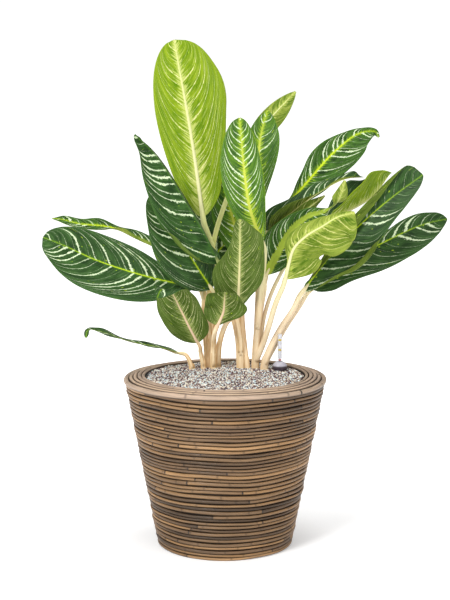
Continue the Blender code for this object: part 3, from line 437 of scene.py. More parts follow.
def leaf_side(name, look, pitch, glossy):
    """Living leaf, grown with pale stripes that follow its side veins and break off raggedly.

    A waxy skin gives it a soft sheen, and the veins lie in shallow troughs. The map veins holds,
    in millimetres, where on the midrib a point's side vein starts and how far off it the point is.
    """
    material, node, paint = new_material(
        name, roughness=0.42 if glossy else 0.6, ior=1.4, specular=0.16 if glossy else 0.1)
    veins = node("UVMap", uv_map="veins")
    start, reach, _ = node("SeparateXYZ", veins).outputs
    reach = node("Math", reach, operation="ABSOLUTE")
    along, side, _ = node("SeparateXYZ", node("UVMap", uv_map="blade")).outputs
    side = node("Math", side, 2.0, -1.0, operation="MULTIPLY_ADD")
    across = node("Math", side, operation="ABSOLUTE")

    # Teeth a millimetre or two long make the stripes ragged, and a slow drift bends them
    teeth = node("TexNoise", Vector=veins, Scale=0.42, Detail=4.0, Roughness=0.7)
    drift = node("TexNoise", Vector=veins, Scale=0.03, Detail=1.0)
    moved = node("Math", teeth, 2.6, start, operation="MULTIPLY_ADD")
    moved = node("Math", drift, 9.0, moved, operation="MULTIPLY_ADD")

    # One cell of this pattern is one side vein, with a random number that sets its width
    cells = node("TexVoronoi", W=moved, Scale=1 / pitch, Randomness=0.62,
                 voronoi_dimensions="1D").outputs
    off_line = node("Math", cells["Distance"], pitch, operation="MULTIPLY")
    draw = node("SeparateColor", cells["Color"]).outputs
    strength = node("MapRange", draw[0], 0.25, 0.85, interpolation_type="SMOOTHSTEP")
    width = node("Math", strength, look.bold - look.thin, look.thin, operation="MULTIPLY_ADD")
    run = node("CombineXYZ", node("Math", draw[1], 90.0, operation="MULTIPLY"),
               node("Math", reach, 0.11, operation="MULTIPLY"))
    swell = node("TexNoise", Vector=run, Scale=1.0, Detail=2.0)
    swell = node("MapRange", swell, 0.3, 0.7, 0.25, 1.45)
    tooth = node("MapRange", teeth, 0.36, 0.64, 0.1, 1.75)
    margin = node("MapRange", across, 0.98, 0.72, 0.15, 1.0, interpolation_type="SMOOTHSTEP")
    for share in (swell, tooth, margin):
        width = node("Math", width, share, operation="MULTIPLY")
    inside = node("Math", width, off_line, operation="SUBTRACT")
    shown = node("MapRange", strength, 0.0, 1.0, 0.45 * look.amount, look.amount)
    stripe = node("MapRange", inside, -0.12, 0.3, 0.0, shown)

    # Fine lines that lie close together between the side veins, on a blotchy ground
    stretched = node("VectorMath", veins, (1.0, 0.07, 1.0), operation="MULTIPLY")
    fine = node("TexNoise", Vector=stretched, Scale=0.75, Detail=3.0, Roughness=0.6)
    blotch = node("TexNoise", Vector=veins, Scale=0.06, Detail=5.0, Roughness=0.62)
    blotch = node("Math", node("MapRange", blotch, 0.36, 0.66), 0.6, operation="MULTIPLY")
    tone = node("Math", node("MapRange", fine, 0.35, 0.68), 0.6, blotch, operation="MULTIPLY_ADD")
    tone = node("MapRange", tone, 0.2, 1.05)
    edge = node("MapRange", across, 0.86, 1.0, 0.0, 0.8)
    tone = node("Math", tone, edge, operation="MAXIMUM")
    paler = node("MapRange", fine, 0.74 - 0.3 * look.feather, 0.82 - 0.2 * look.feather, 0.0,
                 look.feather)

    # The midrib's colour runs out between the veins, farthest near the heel
    ragged = node("TexNoise", Vector=stretched, Scale=0.32, Detail=4.0, Roughness=0.7)
    to_tip = node("MapRange", along, 0.0, 1.0, 1.5, 0.45)
    shares = []
    for torn, soft_from, soft_to, most in (
            (node("MapRange", ragged, 0.4, 0.66, 0.0, look.fringe), -1.5, 2.0, 0.85),
            (node("MapRange", ragged, 0.35, 0.65, 0.6 * look.rib, 1.35 * look.rib),
             -0.5, 0.3, 1.0)):
        span = node("Math", torn, to_tip, operation="MULTIPLY")
        span = node("Math", span, reach, operation="SUBTRACT")
        shares.append(node("MapRange", span, soft_from, soft_to, 0.0, most))
    fringe, rib = shares
    faded = node("MapRange", along, 0.55, 0.9, 1.0, 0.25)
    rib = node("Math", rib, faded, operation="MULTIPLY")

    # Scattered yellow-green specks about a millimetre across
    specks = node("TexVoronoi", Vector=veins, Scale=0.11, voronoi_dimensions="2D").outputs
    speck = node("MapRange", node("SeparateColor", specks["Color"]).outputs[2], 0.7, 1.0, -0.05,
                 0.15)
    speck = node("Math", speck, specks["Distance"], operation="SUBTRACT")
    speck = node("MapRange", speck, 0.0, 0.04, 0.0, 0.8)

    skin = rgba(look.ground)
    for share, colour in ((tone, look.shade), (paler, look.stripe), (fringe, look.fringe_colour),
                          (stripe, look.stripe), (rib, look.rib_colour), (speck, "#9DBB22")):
        skin = node("Mix", share, skin, rgba(colour), data_type="RGBA")
    paint("Base Color", skin)
    trough = node("MapRange", off_line, 0.0, 2.5, interpolation_type="SMOOTHSTEP")
    bump(node, paint, node("Math", fine, 0.35, trough, operation="MULTIPLY_ADD"), 0.0004, 0.5)
    return material


def stalk_skin(name, stalk, keel, far):
    """Smooth fleshy stalk, waxy and ivory, with tan lines along its sheath's edges.

    keel and far are the colours it takes on under its blade, at the heel and towards the tip.
    """
    material, node, paint = new_material(name, roughness=0.42, ior=1.42, specular=0.35)
    place = node("UVMap", uv_map="stalk")
    streaks = node("VectorMath", place, (0.03, 7.0, 1.0), operation="MULTIPLY")
    streaks = node("TexNoise", Vector=streaks, Scale=1.0, Detail=4.0, Roughness=0.6)
    lined = node("MapRange", streaks, 0.42, 0.68)
    # The sheath's two edges run on up the stalk as a pair of tan lines
    around = node("SeparateXYZ", place).outputs[1]
    edge = node("Math", streaks, 0.22, around, operation="MULTIPLY_ADD")
    edge = node("Math", edge, 0.25, operation="PINGPONG")
    edge = node("MapRange", edge, 0.19, 0.235, 0.0, 0.8)
    wing, keeled, far_off = (node("Attribute", attribute_name=mark).outputs["Fac"]
                             for mark in ("wing", "keel", "far"))
    # Young growth high on the left is still green. The stalks on the right are greyer and darker,
    # partly their own tone and partly painted shade that tones down the brighter light on that side
    x, _, height = node("SeparateXYZ", node("TexCoord").outputs["Object"]).outputs
    high = node("MapRange", height, 0.41, 0.49, 0.0, 0.8)
    right = node("MapRange", x, 0.0, 0.09, 0.0, 0.8)
    low = node("Math", streaks, 0.03, height, operation="MULTIPLY_ADD")
    low = node("MapRange", low, 0.335, 0.302, 0.0, 0.36)
    skin = rgba(stalk)
    for share, colour in ((lined, "#E4BE84"), (edge, "#CDA164"), (wing, "#CA9E62"),
                          (high, "#E6F08C"), (right, "#D3C2A6"), (low, "#D4A76C"),
                          (keeled, keel), (far_off, far)):
        skin = node("Mix", share, skin, rgba(colour), data_type="RGBA")
    paint("Base Color", skin)
    bump(node, paint, streaks, 0.0003, 0.4)
    return material


# Tones of the lengths of cane: where in the draw, how bright, and the tint
WALL_TONES = ((0.14, 0.28, (0.96, 0.96, 0.96)), (0.32, 0.68, (1.0, 1.0, 1.06)),
              (0.5, 0.98, (1.0, 1.0, 1.0)), (0.7, 1.35, (1.04, 1.0, 0.88)),
              (0.88, 1.95, (1.0, 1.0, 0.98)))
RIM_TONES = ((0.14, 0.7, (1.0, 0.98, 0.95)), (0.32, 0.88, (1.0, 1.0, 1.0)),
             (0.5, 1.0, (1.0, 1.0, 1.03)), (0.7, 1.16, (1.02, 1.0, 0.96)),
             (0.88, 1.4, (1.0, 1.0, 1.02)))


def cane_skin(name, cane, tones_of_lengths, length, seed, crease_shade_slopes):
    """Rattan cane, peeled and stained, in lengths that butt against each other.

    Each length has its own tone, with a dark cut at its ends, darker rings where the cane had its
    leaves, and fine streaks along it. Painted shade darkens the cane where it lies against its
    neighbours: the last argument gives the slopes between which that painted shade sets in, and
    whether it keeps off the rim's outer cane.
    """
    material, node, paint = new_material(name, roughness=0.5, ior=1.5, specular=0.4)
    spot = node("TexCoord").outputs
    place = spot["Object"]
    x, y, _ = node("SeparateXYZ", place).outputs
    turn = node("Math", x, node("Math", y, -1.0, operation="MULTIPLY"), operation="ARCTAN2")
    course = node("Attribute", attribute_name="course").outputs["Fac"]
    shift = node("TexWhiteNoise", W=node("Math", course, seed, operation="ADD"),
                 noise_dimensions="1D")
    shift = node("Math", shift, 40.0, operation="MULTIPLY")
    # How far along its cane a point lies, in metres, if every course had the wall's mean radius
    mean_radius = 0.145
    run = node("Math", turn, mean_radius, shift, operation="MULTIPLY_ADD")
    cells = partial(node, "TexVoronoi", W=run, voronoi_dimensions="1D")
    lengths = cells(Scale=1 / length, Randomness=0.95).outputs["Color"]
    cut = cells(Scale=1 / length, Randomness=0.95, feature="DISTANCE_TO_EDGE")
    cut = node("MapRange", cut, 0.0009 / length, 0.002 / length, 1.0, 0.0)
    rings = cells(Scale=9.0, Randomness=0.9, feature="DISTANCE_TO_EDGE")
    rings = node("MapRange", rings, 0.006, 0.025, 0.45, 0.0)

    band = node("VectorMath", place, (3.0, 3.0, 16.0), operation="MULTIPLY")
    band = node("TexNoise", Vector=band, Scale=1.0, Detail=2.0)
    band = node("Math", node("MapRange", band, 0.3, 0.7), 0.45, operation="MULTIPLY")
    tone = node("Math", node("SeparateColor", lengths), 0.55, band, operation="MULTIPLY_ADD")
    tones = node("ValToRGB", tone)
    fill_ramp(tones.color_ramp, [
        (position, tuple(min(1.0, part * level * share) for part, share in zip(cane, shares)))
        for position, level, shares in tones_of_lengths])
    streaks = node("VectorMath", place, (28.0, 28.0, 900.0), operation="MULTIPLY")
    streaks = node("TexNoise", Vector=streaks, Scale=1.0, Detail=4.0, Roughness=0.65)
    streak = node("MapRange", streaks, 0.3, 0.7, 0.66, 1.3)
    toned = node("VectorMath", tones, Scale=streak, operation="SCALE")

    dark = node("Math", cut, rings, operation="MAXIMUM")
    up = node("SeparateXYZ", spot["Normal"]).outputs[2]
    off_axis = node("VectorMath", node("CombineXYZ", x, y), operation="LENGTH")
    inside = node("MapRange", off_axis, RIM_RADIUS - 0.006, RIM_RADIUS - 0.004, 1.0, 0.0)
    # Painted shade where the cane faces a neighbouring cane, set by the slope of its surface
    for slope_from, slope_to, kept_inside in crease_shade_slopes:
        painted_crease_shade = node("MapRange", up, slope_from, slope_to, 0.0, 0.85)
        if kept_inside:
            painted_crease_shade = node("Math", painted_crease_shade, inside, operation="MULTIPLY")
        dark = node("Math", dark, painted_crease_shade, operation="MAXIMUM")
    # Dark cuts, leaf rings and the painted crease shade all take this dark brown
    paint("Base Color", node("Mix", dark, toned, rgba("#22160C"), data_type="RGBA"))
    paint("Roughness", node("MapRange", streaks, 0.3, 0.7, 0.38, 0.6))
    bump(node, paint, node("Math", dark, -0.8, streaks, operation="MULTIPLY_ADD"), 0.0006, 0.7)
    return material


def stone_skin(name):
    """Broken clay and pumice, fired or dug, in cream, bluish white, grey and brown-purple."""
    material, node, paint = new_material(name, roughness=0.85, ior=1.5, specular=0.2)
    tones = node("ValToRGB", node("Attribute", attribute_name="tone").outputs["Fac"])
    tones.color_ramp.interpolation = "CONSTANT"
    fill_ramp(tones.color_ramp, [
        (0.0, "#4E3A40"), (0.16, "#6E5558"), (0.34, "#8B7672"), (0.44, "#E6DCC8"),
        (0.62, "#CFE2E6"), (0.76, "#F0EDE6"), (0.88, "#B9A797")])
    pores = node("TexNoise", Vector=node("TexCoord").outputs["Object"], Scale=1800.0, Detail=3.0)
    level = node("MapRange", pores, 0.3, 0.7, 0.78, 1.1)
    paint("Base Color", node("VectorMath", tones, Scale=level, operation="SCALE"))
    bump(node, paint, pores, 0.0003, 0.6)
    return material


def moulded_plastic(name, colour, roughness, grain_mm=0.6, dark=None):
    """Moulded plastic, polypropylene or ABS, with the faint orange peel of its mould.

    dark gives a colour and two heights: below the first the plastic is painted in that colour, and
    above the second it has its own colour, blending between them.
    """
    material, node, paint = new_material(name, roughness=roughness, ior=1.49)
    place = node("TexCoord").outputs["Object"]
    peel = node("TexNoise", Vector=place, Scale=1 / (grain_mm * MM), Detail=2.0)
    shades = node("MapRange", peel, 0.3, 0.7, 0.85, 1.1)
    toned = node("VectorMath", linear(colour), Scale=shades, operation="SCALE")
    if dark:
        under, dark_below, lit_above = dark
        lit = node("MapRange", node("SeparateXYZ", place).outputs[2], dark_below, lit_above)
        toned = node("Mix", lit, rgba(under), toned, data_type="RGBA")
    paint("Base Color", toned)
    bump(node, paint, peel, 0.0001, 0.3)
    return material


def plywood(name):
    """Plywood board, sanded and bare, with long soft grain."""
    material, node, paint = new_material(name, roughness=0.7, ior=1.5, specular=0.25)
    grain = node("VectorMath", node("TexCoord").outputs["Object"], (12.0, 260.0, 260.0),
                 operation="MULTIPLY")
    grain = node("TexNoise", Vector=grain, Scale=1.0, Detail=4.0)
    paint("Base Color", node("Mix", grain, rgba("#8C6B43"), rgba("#C9A673"), data_type="RGBA"))
    bump(node, paint, grain, 0.0003, 0.4)
    return material


def clear_tube(name):
    """Clear polystyrene tube, extruded, seen as a bright thin wall."""
    material, node, paint = new_material(name, roughness=0.12, ior=1.5, alpha=0.12)
    haze = node("TexNoise", Vector=node("TexCoord").outputs["Object"], Scale=300.0)
    paint("Base Color", node("Mix", haze, rgba("#E4E6EA"), rgba("#D3D4D9"), data_type="RGBA"))
    return material


def spline(points, share):
    """A point on a smooth curve through the points, share running from 0 to 1 along it."""
    knots = [0.0]
    for first, second in zip(points, points[1:]):
        knots.append(knots[-1] + (second - first).length ** 0.75)
    knots = [knot / knots[-1] for knot in knots]
    points = [2 * points[0] - points[1], *points, 2 * points[-1] - points[-2]]
    knots = [-knots[1], *knots, 2 - knots[-2]]
    span = 0
    while span < len(points) - 4 and share >= knots[span + 2]:
        span += 1
    near = points[span:span + 4]
    at = knots[span:span + 4]
    for spans in (((0, 1), (1, 2), (2, 3)), ((0, 2), (1, 3)), ((1, 2),)):
        near = [near[i] * ((at[end] - share) / (at[end] - at[start]))
                + near[i + 1] * ((share - at[start]) / (at[end] - at[start]))
                for i, (start, end) in enumerate(spans)]
    return near[0]


def eased(share):
    share = min(max(share, 0.0), 1.0)
    return share * share * (3 - 2 * share)


def tabled(value, along):
    """A plain number, or one read smoothly from a row of them spaced evenly from heel to tip."""
    if not isinstance(value, tuple):
        return value
    place = min(max(along, 0.0), 1.0) * (len(value) - 1)
    index = min(int(place), len(value) - 2)
    share = place - index
    first, second = value[index], value[index + 1]
    before = value[index - 1] if index else first
    after = value[index + 2] if index + 2 < len(value) else second
    bend = (2 * before - 5 * first + 4 * second - after, 3 * (first - second) + after - before)
    return first + share * (second - before + share * (bend[0] + share * bend[1])) / 2


def half_width(blade, along, across):
    """Half the blade's width in millimetres, on the side that across lies on."""
    side = "right" if across >= 0 else "left"
    half = getattr(blade, side)
    if isinstance(half.width, tuple):
        heel_end = 1 - min(along / half.heel, 1.0)
        tip_end = 1 - min((1 - along) / half.tip, 1.0)
        width = tabled(half.width, along)
        width *= math.sqrt(max(0.0, (1 - heel_end ** 2) * (1 - tip_end ** 2)))
        return max(width, HEEL_HALF_WIDTH)
    warp = math.log(0.5) / math.log(half.widest)
    bluntness = half.heel + (half.tip - half.heel) * along
    within = min(max(along, 0.0001), 0.9999)
    width = half.width * math.sin(math.pi * within ** warp) ** bluntness
    width = max(width, HEEL_HALF_WIDTH)
    if blade.corner and blade.corner[0] == side:
        _, centre, spread, more = blade.corner
        width *= 1 + more * math.exp(-(((along - centre) / spread) ** 2))
    return width


def rib_frame(blade, along):
    """The midrib's point, and its tangent, sideways and upward directions."""
    rib = [Vector(point) for point in blade.rib]
    step = 0.02
    tangent = spline(rib, min(along + step, 1.0)) - spline(rib, max(along - step, 0.0))
    tangent.normalize()
    faces = [Vector(face).normalized() for face in blade.faces]
    place = along * (len(faces) - 1)
    index = min(int(place), len(faces) - 1)
    after = faces[min(index + 1, len(faces) - 1)]
    face = faces[index].lerp(after, eased(place - index)).normalized()
    sideways = tangent.cross(face).normalized()
    return spline(rib, along), tangent, sideways, sideways.cross(tangent)


def blade_point(blade, along, across):
    """A point of the blade in millimetres: along from heel to tip, across from -1 to 1."""
    point, _, sideways, upward = rib_frame(blade, along)
    half = blade.right if across >= 0 else blade.left
    width = half_width(blade, along, across)
    heel = eased(along / 0.12)
    rise = math.radians(half.rise) * heel * eased((1 - along) / 0.1)
    roll = half.roll_heel
    if isinstance(roll, tuple):
        roll = tabled(roll, along)
    else:
        roll += (half.roll_tip - half.roll_heel) * along
    roll = math.radians(roll) * heel
    roll_at = tabled(half.roll_at, along)
    out = up = 0.0
    pieces = 24
    reach = abs(across)
    for piece in range(pieces):
        share = reach * (piece + 0.5) / pieces
        angle = rise + roll * eased((share - roll_at + half.softness) / (2 * half.softness))
        out += math.cos(angle) * reach / pieces
        up += math.sin(angle) * reach / pieces
    waves, height, start = blade.wave
    phase = 2 * math.pi * waves * along + start + (2.1 if across >= 0 else 0.0)
    lift = height * reach * reach * math.sin(phase) * min(1.0, 5 * along * (1 - along))
    outward = 1 if across >= 0 else -1
    return point + sideways * (outward * out * width) + upward * (up * width + lift)


def placed(name, data):
    """A new object in the scene, at the origin."""
    made = bpy.data.objects.new(name, data)
    bpy.context.scene.collection.objects.link(made)
    return made


def as_mesh(name, shape, *materials):
    """A mesh of the finished shape, which is freed."""
    mesh = bpy.data.meshes.new(name)
    shape.to_mesh(mesh)
    shape.free()
    for material in materials:
        mesh.materials.append(material)
    return mesh


def add_piece(name, mesh, replaced):
    """Puts a finished mesh in the scene as a piece that stands for CAD nodes."""
    piece = placed(name, mesh)
    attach(piece, "root")
    if replaced:
        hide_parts(*replaced)


def finish_node(name, material):
    """Gives a CAD node its material and leaves its mesh as it is."""
    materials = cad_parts[name].data.materials
    materials.clear()
    materials.append(material)


def settled(name, helper):
    """The evaluated mesh of a helper object, which is then removed."""
    bpy.context.view_layer.update()
    graph = bpy.context.evaluated_depsgraph_get()
    mesh = bpy.data.meshes.new_from_object(helper.evaluated_get(graph), depsgraph=graph)
    mesh.name = name
    bpy.data.objects.remove(helper, do_unlink=True)
    return mesh


def grow_blade(name, blade, seed, materials, thickness):
    """One blade: a fine grid laid on its surface, then thickened, with a finish on each side."""
    along_steps = 64
    across_steps = 40
    shape = bmesh.new()
    bmesh.ops.create_grid(shape, x_segments=along_steps, y_segments=across_steps, size=0.5)
    places = {}
    lengths = [0.0]
    rib = [Vector(point) for point in blade.rib]
    for index in range(along_steps):
        lengths.append(lengths[-1] + (spline(rib, (index + 1) / along_steps)
                                      - spline(rib, index / along_steps)).length)
    for vertex in shape.verts:
        along = round((vertex.co.x + 0.5) * along_steps) / along_steps
        # The grid's far side becomes the blade's left, so that its upper side faces outwards
        across = -2 * vertex.co.y
        # Its rows lie closer together near the midrib, where the surface bends most
        across = math.copysign(abs(across) ** 1.3, across) if abs(across) > 0.001 else 0.0
        places[vertex.index] = (along, across)
        vertex.co = blade_point(blade, along, across) * MM
    blade_map = shape.loops.layers.uv.new("blade")
    vein_map = shape.loops.layers.uv.new("veins")
    lean, sweep_back = blade.veins
    for face in shape.faces:
        face.smooth = True
        right = sum(places[vertex.index][1] for vertex in face.verts) > 0
        for loop in face.loops:
            along, across = places[loop.vert.index]
            reach = abs(across) * half_width(blade, along, 1 if right else -1)
            start = (lengths[round(along * along_steps)]
                     - reach * (lean + sweep_back * abs(across) ** 3))
            loop[blade_map].uv = (along, (across + 1) / 2)
            # The far offsets give each half of each blade stripes of its own
            loop[vein_map].uv = (start / blade.apart + 900 * seed + (430 if right else 0),
                                 reach if right else -reach)
    helper = placed(name, as_mesh(name, shape, *materials))
    thick = helper.modifiers.new("thickness", "SOLIDIFY")
    thick.thickness = thickness
    thick.offset = 0
    thick.material_offset = 1
    thick.material_offset_rim = 1
    return settled(name, helper)


def sweep(shape, points, radii, upwards, marks, material, sides=16):
    """A closed skin round a route.

    marks gives, for each point: its wing, the shares of its keel's near and far colour, and how
    flat it is.
    """
    stalk_map = shape.loops.layers.uv["stalk"]
    layers = [shape.verts.layers.float[mark] for mark in ("wing", "keel", "far")]
    rings = []
    for index, (point, radius, upward) in enumerate(zip(points, radii, upwards)):
        before = points[max(index - 1, 0)]
        after = points[min(index + 1, len(points) - 1)]
        tangent = (after - before).normalized()
        upward = (upward - tangent * upward.dot(tangent)).normalized()
        across = tangent.cross(upward)
        wing, keel, far, flat = marks[index]
        ring = []
        for corner in range(sides):
            turn = 2 * math.pi * corner / sides
            off_top = min(turn, 2 * math.pi - turn)
            edge = math.exp(-(((off_top - 0.9) / 0.28) ** 2))
            groove = math.exp(-((off_top / 0.55) ** 2))
            reach = radius * (1 + wing * (0.22 * edge - 0.3 * groove))
            vertex = shape.verts.new(
                (point + (upward * math.cos(turn) * (1 - flat)
                          + across * math.sin(turn)) * reach) * MM)
            for layer, share in zip(layers, (edge * wing, keel, far)):
                vertex[layer] = share
            ring.append(vertex)
        rings.append(ring)
    run = 0.0
    for index in range(len(rings) - 1):
        step = (points[index + 1] - points[index]).length
        for corner in range(sides):
            after = (corner + 1) % sides
            face = shape.faces.new((rings[index][corner], rings[index][after],
                                    rings[index + 1][after], rings[index + 1][corner]))
            face.smooth = True
            face.material_index = material
            spans = ((run, corner), (run, corner + 1), (run + step, corner + 1),
                     (run + step, corner))
            for loop, (length, round_by) in zip(face.loops, spans):
                loop[stalk_map].uv = (length, round_by / sides)
        run += step
    for ring in (rings[0][::-1], rings[-1]):
        shape.faces.new(ring).material_index = material


def carried_down(points, upward):
    """Turns the direction at the last point along the route back to the first, without twist."""
    found = [upward.copy()]
    for index in range(len(points) - 1, 0, -1):
        tangent = (points[index] - points[index - 1]).normalized()
        upward = (upward - tangent * upward.dot(tangent)).normalized()
        found.append(upward.copy())
    return found[::-1]


def grow_stalk(shape, stalk, material):
    """A stalk from its shoot to the blade's heel, and on under the blade as its midrib's keel."""
    blade = BLADES[stalk.leaf]
    heel, tangent, _, upward = rib_frame(blade, 0.0)
    # The stalk's last millimetres lie in line with the midrib
    in_line = 9
    route = [Vector(point) for point in stalk.points] + [heel - tangent * in_line, heel]
    length = sum((b - a).length for a, b in zip(route, route[1:]))
    count = max(8, round(length / 7))
    points = [spline(route, index / count) for index in range(count)] + [heel]
    upwards = carried_down(points, upward)
    shares = [index / count for index in range(count + 1)]
    change = stalk.end_radius - stalk.start_radius
    radii = [stalk.start_radius + change * share for share in shares]
    green_from = 0.2 if blade.keel == "pale" else 0.7
    marks = [(1 - eased((share - 0.45) / 0.4),
              0.5 * eased((share - green_from) / (1 - green_from)), 0.0, 0.0) for share in shares]
    steps = 34
    for index in range(1, steps + 1):
        along = 0.97 * index / steps
        point, _, _, upward = rib_frame(blade, along)
        slim = stalk.end_radius * (1 - 0.8 * along ** 0.38) * (1 - eased((along - 0.7) / 0.3) * 0.9)
        flat = 0.62 * eased(along / 0.2)
        points.append(point - upward * (slim * (1 - flat) * eased(along / 0.07)))
        radii.append(slim)
        upwards.append(upward)
        marks.append((0.0, 0.5 + 0.5 * eased(along / 0.06), 0.75 * eased((along - 0.15) / 0.7),
                      flat))
    sweep(shape, points, radii, upwards, marks, material)


def grow_sheath(shape, sheath, material):
    """The dry sheath round a shoot's foot, a little flared where it leaves the grains."""
    buried, soil, steps = 262, 296, 14
    route = [Vector((sheath.x, sheath.y, buried)), Vector((sheath.x, sheath.y, soil)),
             Vector((sheath.x + sheath.lean_x, sheath.y + sheath.lean_y, sheath.top))]
    points = [spline(route, index / steps) for index in range(steps + 1)]
    radii = [sheath.radius * (1.0 - 0.02 * max(0, index - 8)) for index in range(steps)]
    radii.append(sheath.radius * 0.7)
    sweep(shape, points, radii, [Vector((0.3, -1, 0))] * (steps + 1),
          [(0.7, 0.0, 0.0, 0.0)] * (steps + 1), material)


def new_geometry_tree(name, inputs):
    """A geometry tree with named inputs and their defaults, and a function that adds a node."""
    kinds = {float: "NodeSocketFloat", int: "NodeSocketInt", type(None): "NodeSocketMaterial"}
    tree = bpy.data.node_groups.new(name, "GeometryNodeTree")
    for way in ("INPUT", "OUTPUT"):
        tree.interface.new_socket("Geometry", in_out=way, socket_type="NodeSocketGeometry")
    for label, default in inputs.items():
        socket = tree.interface.new_socket(label, in_out="INPUT", socket_type=kinds[type(default)])
        if default is not None:
            socket.default_value = default
    node = partial(add, tree)
    return tree, node, node("NodeGroupInput").outputs


def end_tree(node, geometry, material):
    """Ends a geometry tree on Set Material."""
    finished = node("GeometryNodeSetMaterial", Geometry=geometry, Material=material)
    node("NodeGroupOutput", Geometry=finished)


def ring_tree():
    """Rings of cane: each helper point (radius, 0, height) becomes one ring about the Z axis."""
    tree, node, given = new_geometry_tree("rings_of_cane", {
        "Cane Radius": 0.003, "Wander": 0.0005, "Ring Steps": 120, "Cane Sides": 10, "Seed": 1.0,
        "Material": None})
    points = node("GeometryNodeMeshToPoints", Mesh=given["Geometry"])
    place = node("GeometryNodeInputPosition")
    x, _, height = node("SeparateXYZ", place).outputs
    radius = node("GeometryNodeCaptureAttribute", Geometry=points)
    radius.capture_items.new("FLOAT", "Radius")
    tree.links.new(x, radius.inputs[1])
    centred = node("GeometryNodeSetPosition", Geometry=radius.outputs[0],
                   Position=node("CombineXYZ", 0.0, 0.0, height))
    circle = node("GeometryNodeCurvePrimitiveCircle", Resolution=given["Ring Steps"], Radius=1.0)
    scale = node("CombineXYZ", radius.outputs[1], radius.outputs[1], 1.0)
    rings = node("GeometryNodeInstanceOnPoints", Points=centred, Instance=circle, Scale=scale)
    real = node("GeometryNodeRealizeInstances", Geometry=rings)
    course = node("GeometryNodeStoreNamedAttribute", Geometry=real, Name="course",
                  Value=node("GeometryNodeInputIndex"), data_type="FLOAT", domain="CURVE")
    number, thickness = (node("GeometryNodeInputNamedAttribute", Name=name, data_type="FLOAT")
                         for name in ("course", "thickness"))

    # Each cane wanders by itself, and all of them drift up and down together
    lifted = node("Math", number, 3.7, given["Seed"], operation="MULTIPLY_ADD")
    own = node("TexNoise", Vector=place, W=lifted, Scale=9.0, Detail=1.5,
               noise_dimensions="4D").outputs
    shared = node("TexNoise", Vector=place, W=given["Seed"], Scale=6.0, Detail=1.0,
                  noise_dimensions="4D")
    stray = node("VectorMath", own["Color"], (0.5, 0.5, 0.5), operation="SUBTRACT")
    drift = node("Math", shared, 0.5, operation="SUBTRACT")
    drift = node("CombineXYZ", 0.0, 0.0, node("Math", drift, 3.0, operation="MULTIPLY"))
    stray = node("VectorMath", stray, drift, operation="ADD")
    reach = node("Math", given["Wander"], 4.0, operation="MULTIPLY")
    offset = node("VectorMath", stray, Scale=reach, operation="SCALE")
    strayed = node("GeometryNodeSetPosition", Geometry=course, Offset=offset)
    swell = node("MapRange", own[0], 0.3, 0.7, 0.9, 1.06)
    thick = node("Math", swell, thickness, operation="MULTIPLY")
    section = node("GeometryNodeCurvePrimitiveCircle", Resolution=given["Cane Sides"],
                   Radius=given["Cane Radius"])
    canes = node("GeometryNodeCurveToMesh", Curve=strayed, Profile_Curve=section, Scale=thick)
    smooth = node("GeometryNodeSetShadeSmooth", canes)
    end_tree(node, smooth, given["Material"])
    return tree


def grain_tree():
    """Grains laid close together on a surface, each turned and sized at random."""
    tree, node, given = new_geometry_tree(
        "scattered_grains", {"Grain Size": 0.003, "Seed": 1, "Material": None})
    spacing = node("Math", given["Grain Size"], 0.62, operation="MULTIPLY")
    spots = node("GeometryNodeDistributePointsOnFaces", Mesh=given["Geometry"],
                 Distance_Min=spacing, Density_Max=400000.0, Seed=given["Seed"],
                 distribute_method="POISSON")
    half = node("Math", given["Grain Size"], 0.5, operation="MULTIPLY")
    stone = node("GeometryNodeMeshIcoSphere", Radius=half, Subdivisions=1)
    size = node("FunctionNodeRandomValue", (0.6, 0.6, 0.5), (1.35, 1.2, 1.0), Seed=given["Seed"],
                data_type="FLOAT_VECTOR")
    turn = node("FunctionNodeRandomValue", (0.0, 0.0, 0.0), (6.283, 6.283, 6.283), Seed=11,
                data_type="FLOAT_VECTOR")
    stones = node("GeometryNodeInstanceOnPoints", Points=spots, Instance=stone, Rotation=turn,
                  Scale=size)
    draw = node("FunctionNodeRandomValue", Seed=23, data_type="FLOAT")
    toned = node("GeometryNodeStoreNamedAttribute", Geometry=stones, Name="tone", Value=draw,
                 data_type="FLOAT", domain="INSTANCE")
    real = node("GeometryNodeRealizeInstances", Geometry=toned)
    rough = node("TexNoise", Scale=520.0, Detail=1.0).outputs["Color"]
    rough = node("VectorMath", rough, (0.5, 0.5, 0.5), operation="SUBTRACT")
    rough = node("VectorMath", rough, Scale=0.0012, operation="SCALE")
    chipped = node("GeometryNodeSetPosition", Geometry=real, Offset=rough)
    end_tree(node, chipped, given["Material"])
    return tree


def run_tree(helper, tree, values):
    """Gives a helper a geometry tree and sets its inputs by their sockets' identifiers."""
    modifier = helper.modifiers.new(tree.name, "NODES")
    modifier.node_group = tree
    names = {item.name: item.identifier for item in tree.interface.items_tree
             if item.item_type == "SOCKET" and item.in_out == "INPUT"}
    for label, value in values.items():
        modifier[names[label]] = value


def wind_canes(name, rings, inputs, replaced):
    """A piece made of rings of cane, each given as radius, height and thickness."""
    mesh = bpy.data.meshes.new(name + "_centres")
    mesh.from_pydata([(radius, 0, height) for radius, height, _ in rings], [], [])
    thickness = mesh.attributes.new("thickness", "FLOAT", "POINT")
    thickness.data.foreach_set("value", [ring[2] for ring in rings])
    helper = placed(name + "_centres", mesh)
    run_tree(helper, ring_tree(), inputs)
    add_piece(name, settled(name, helper), [replaced])


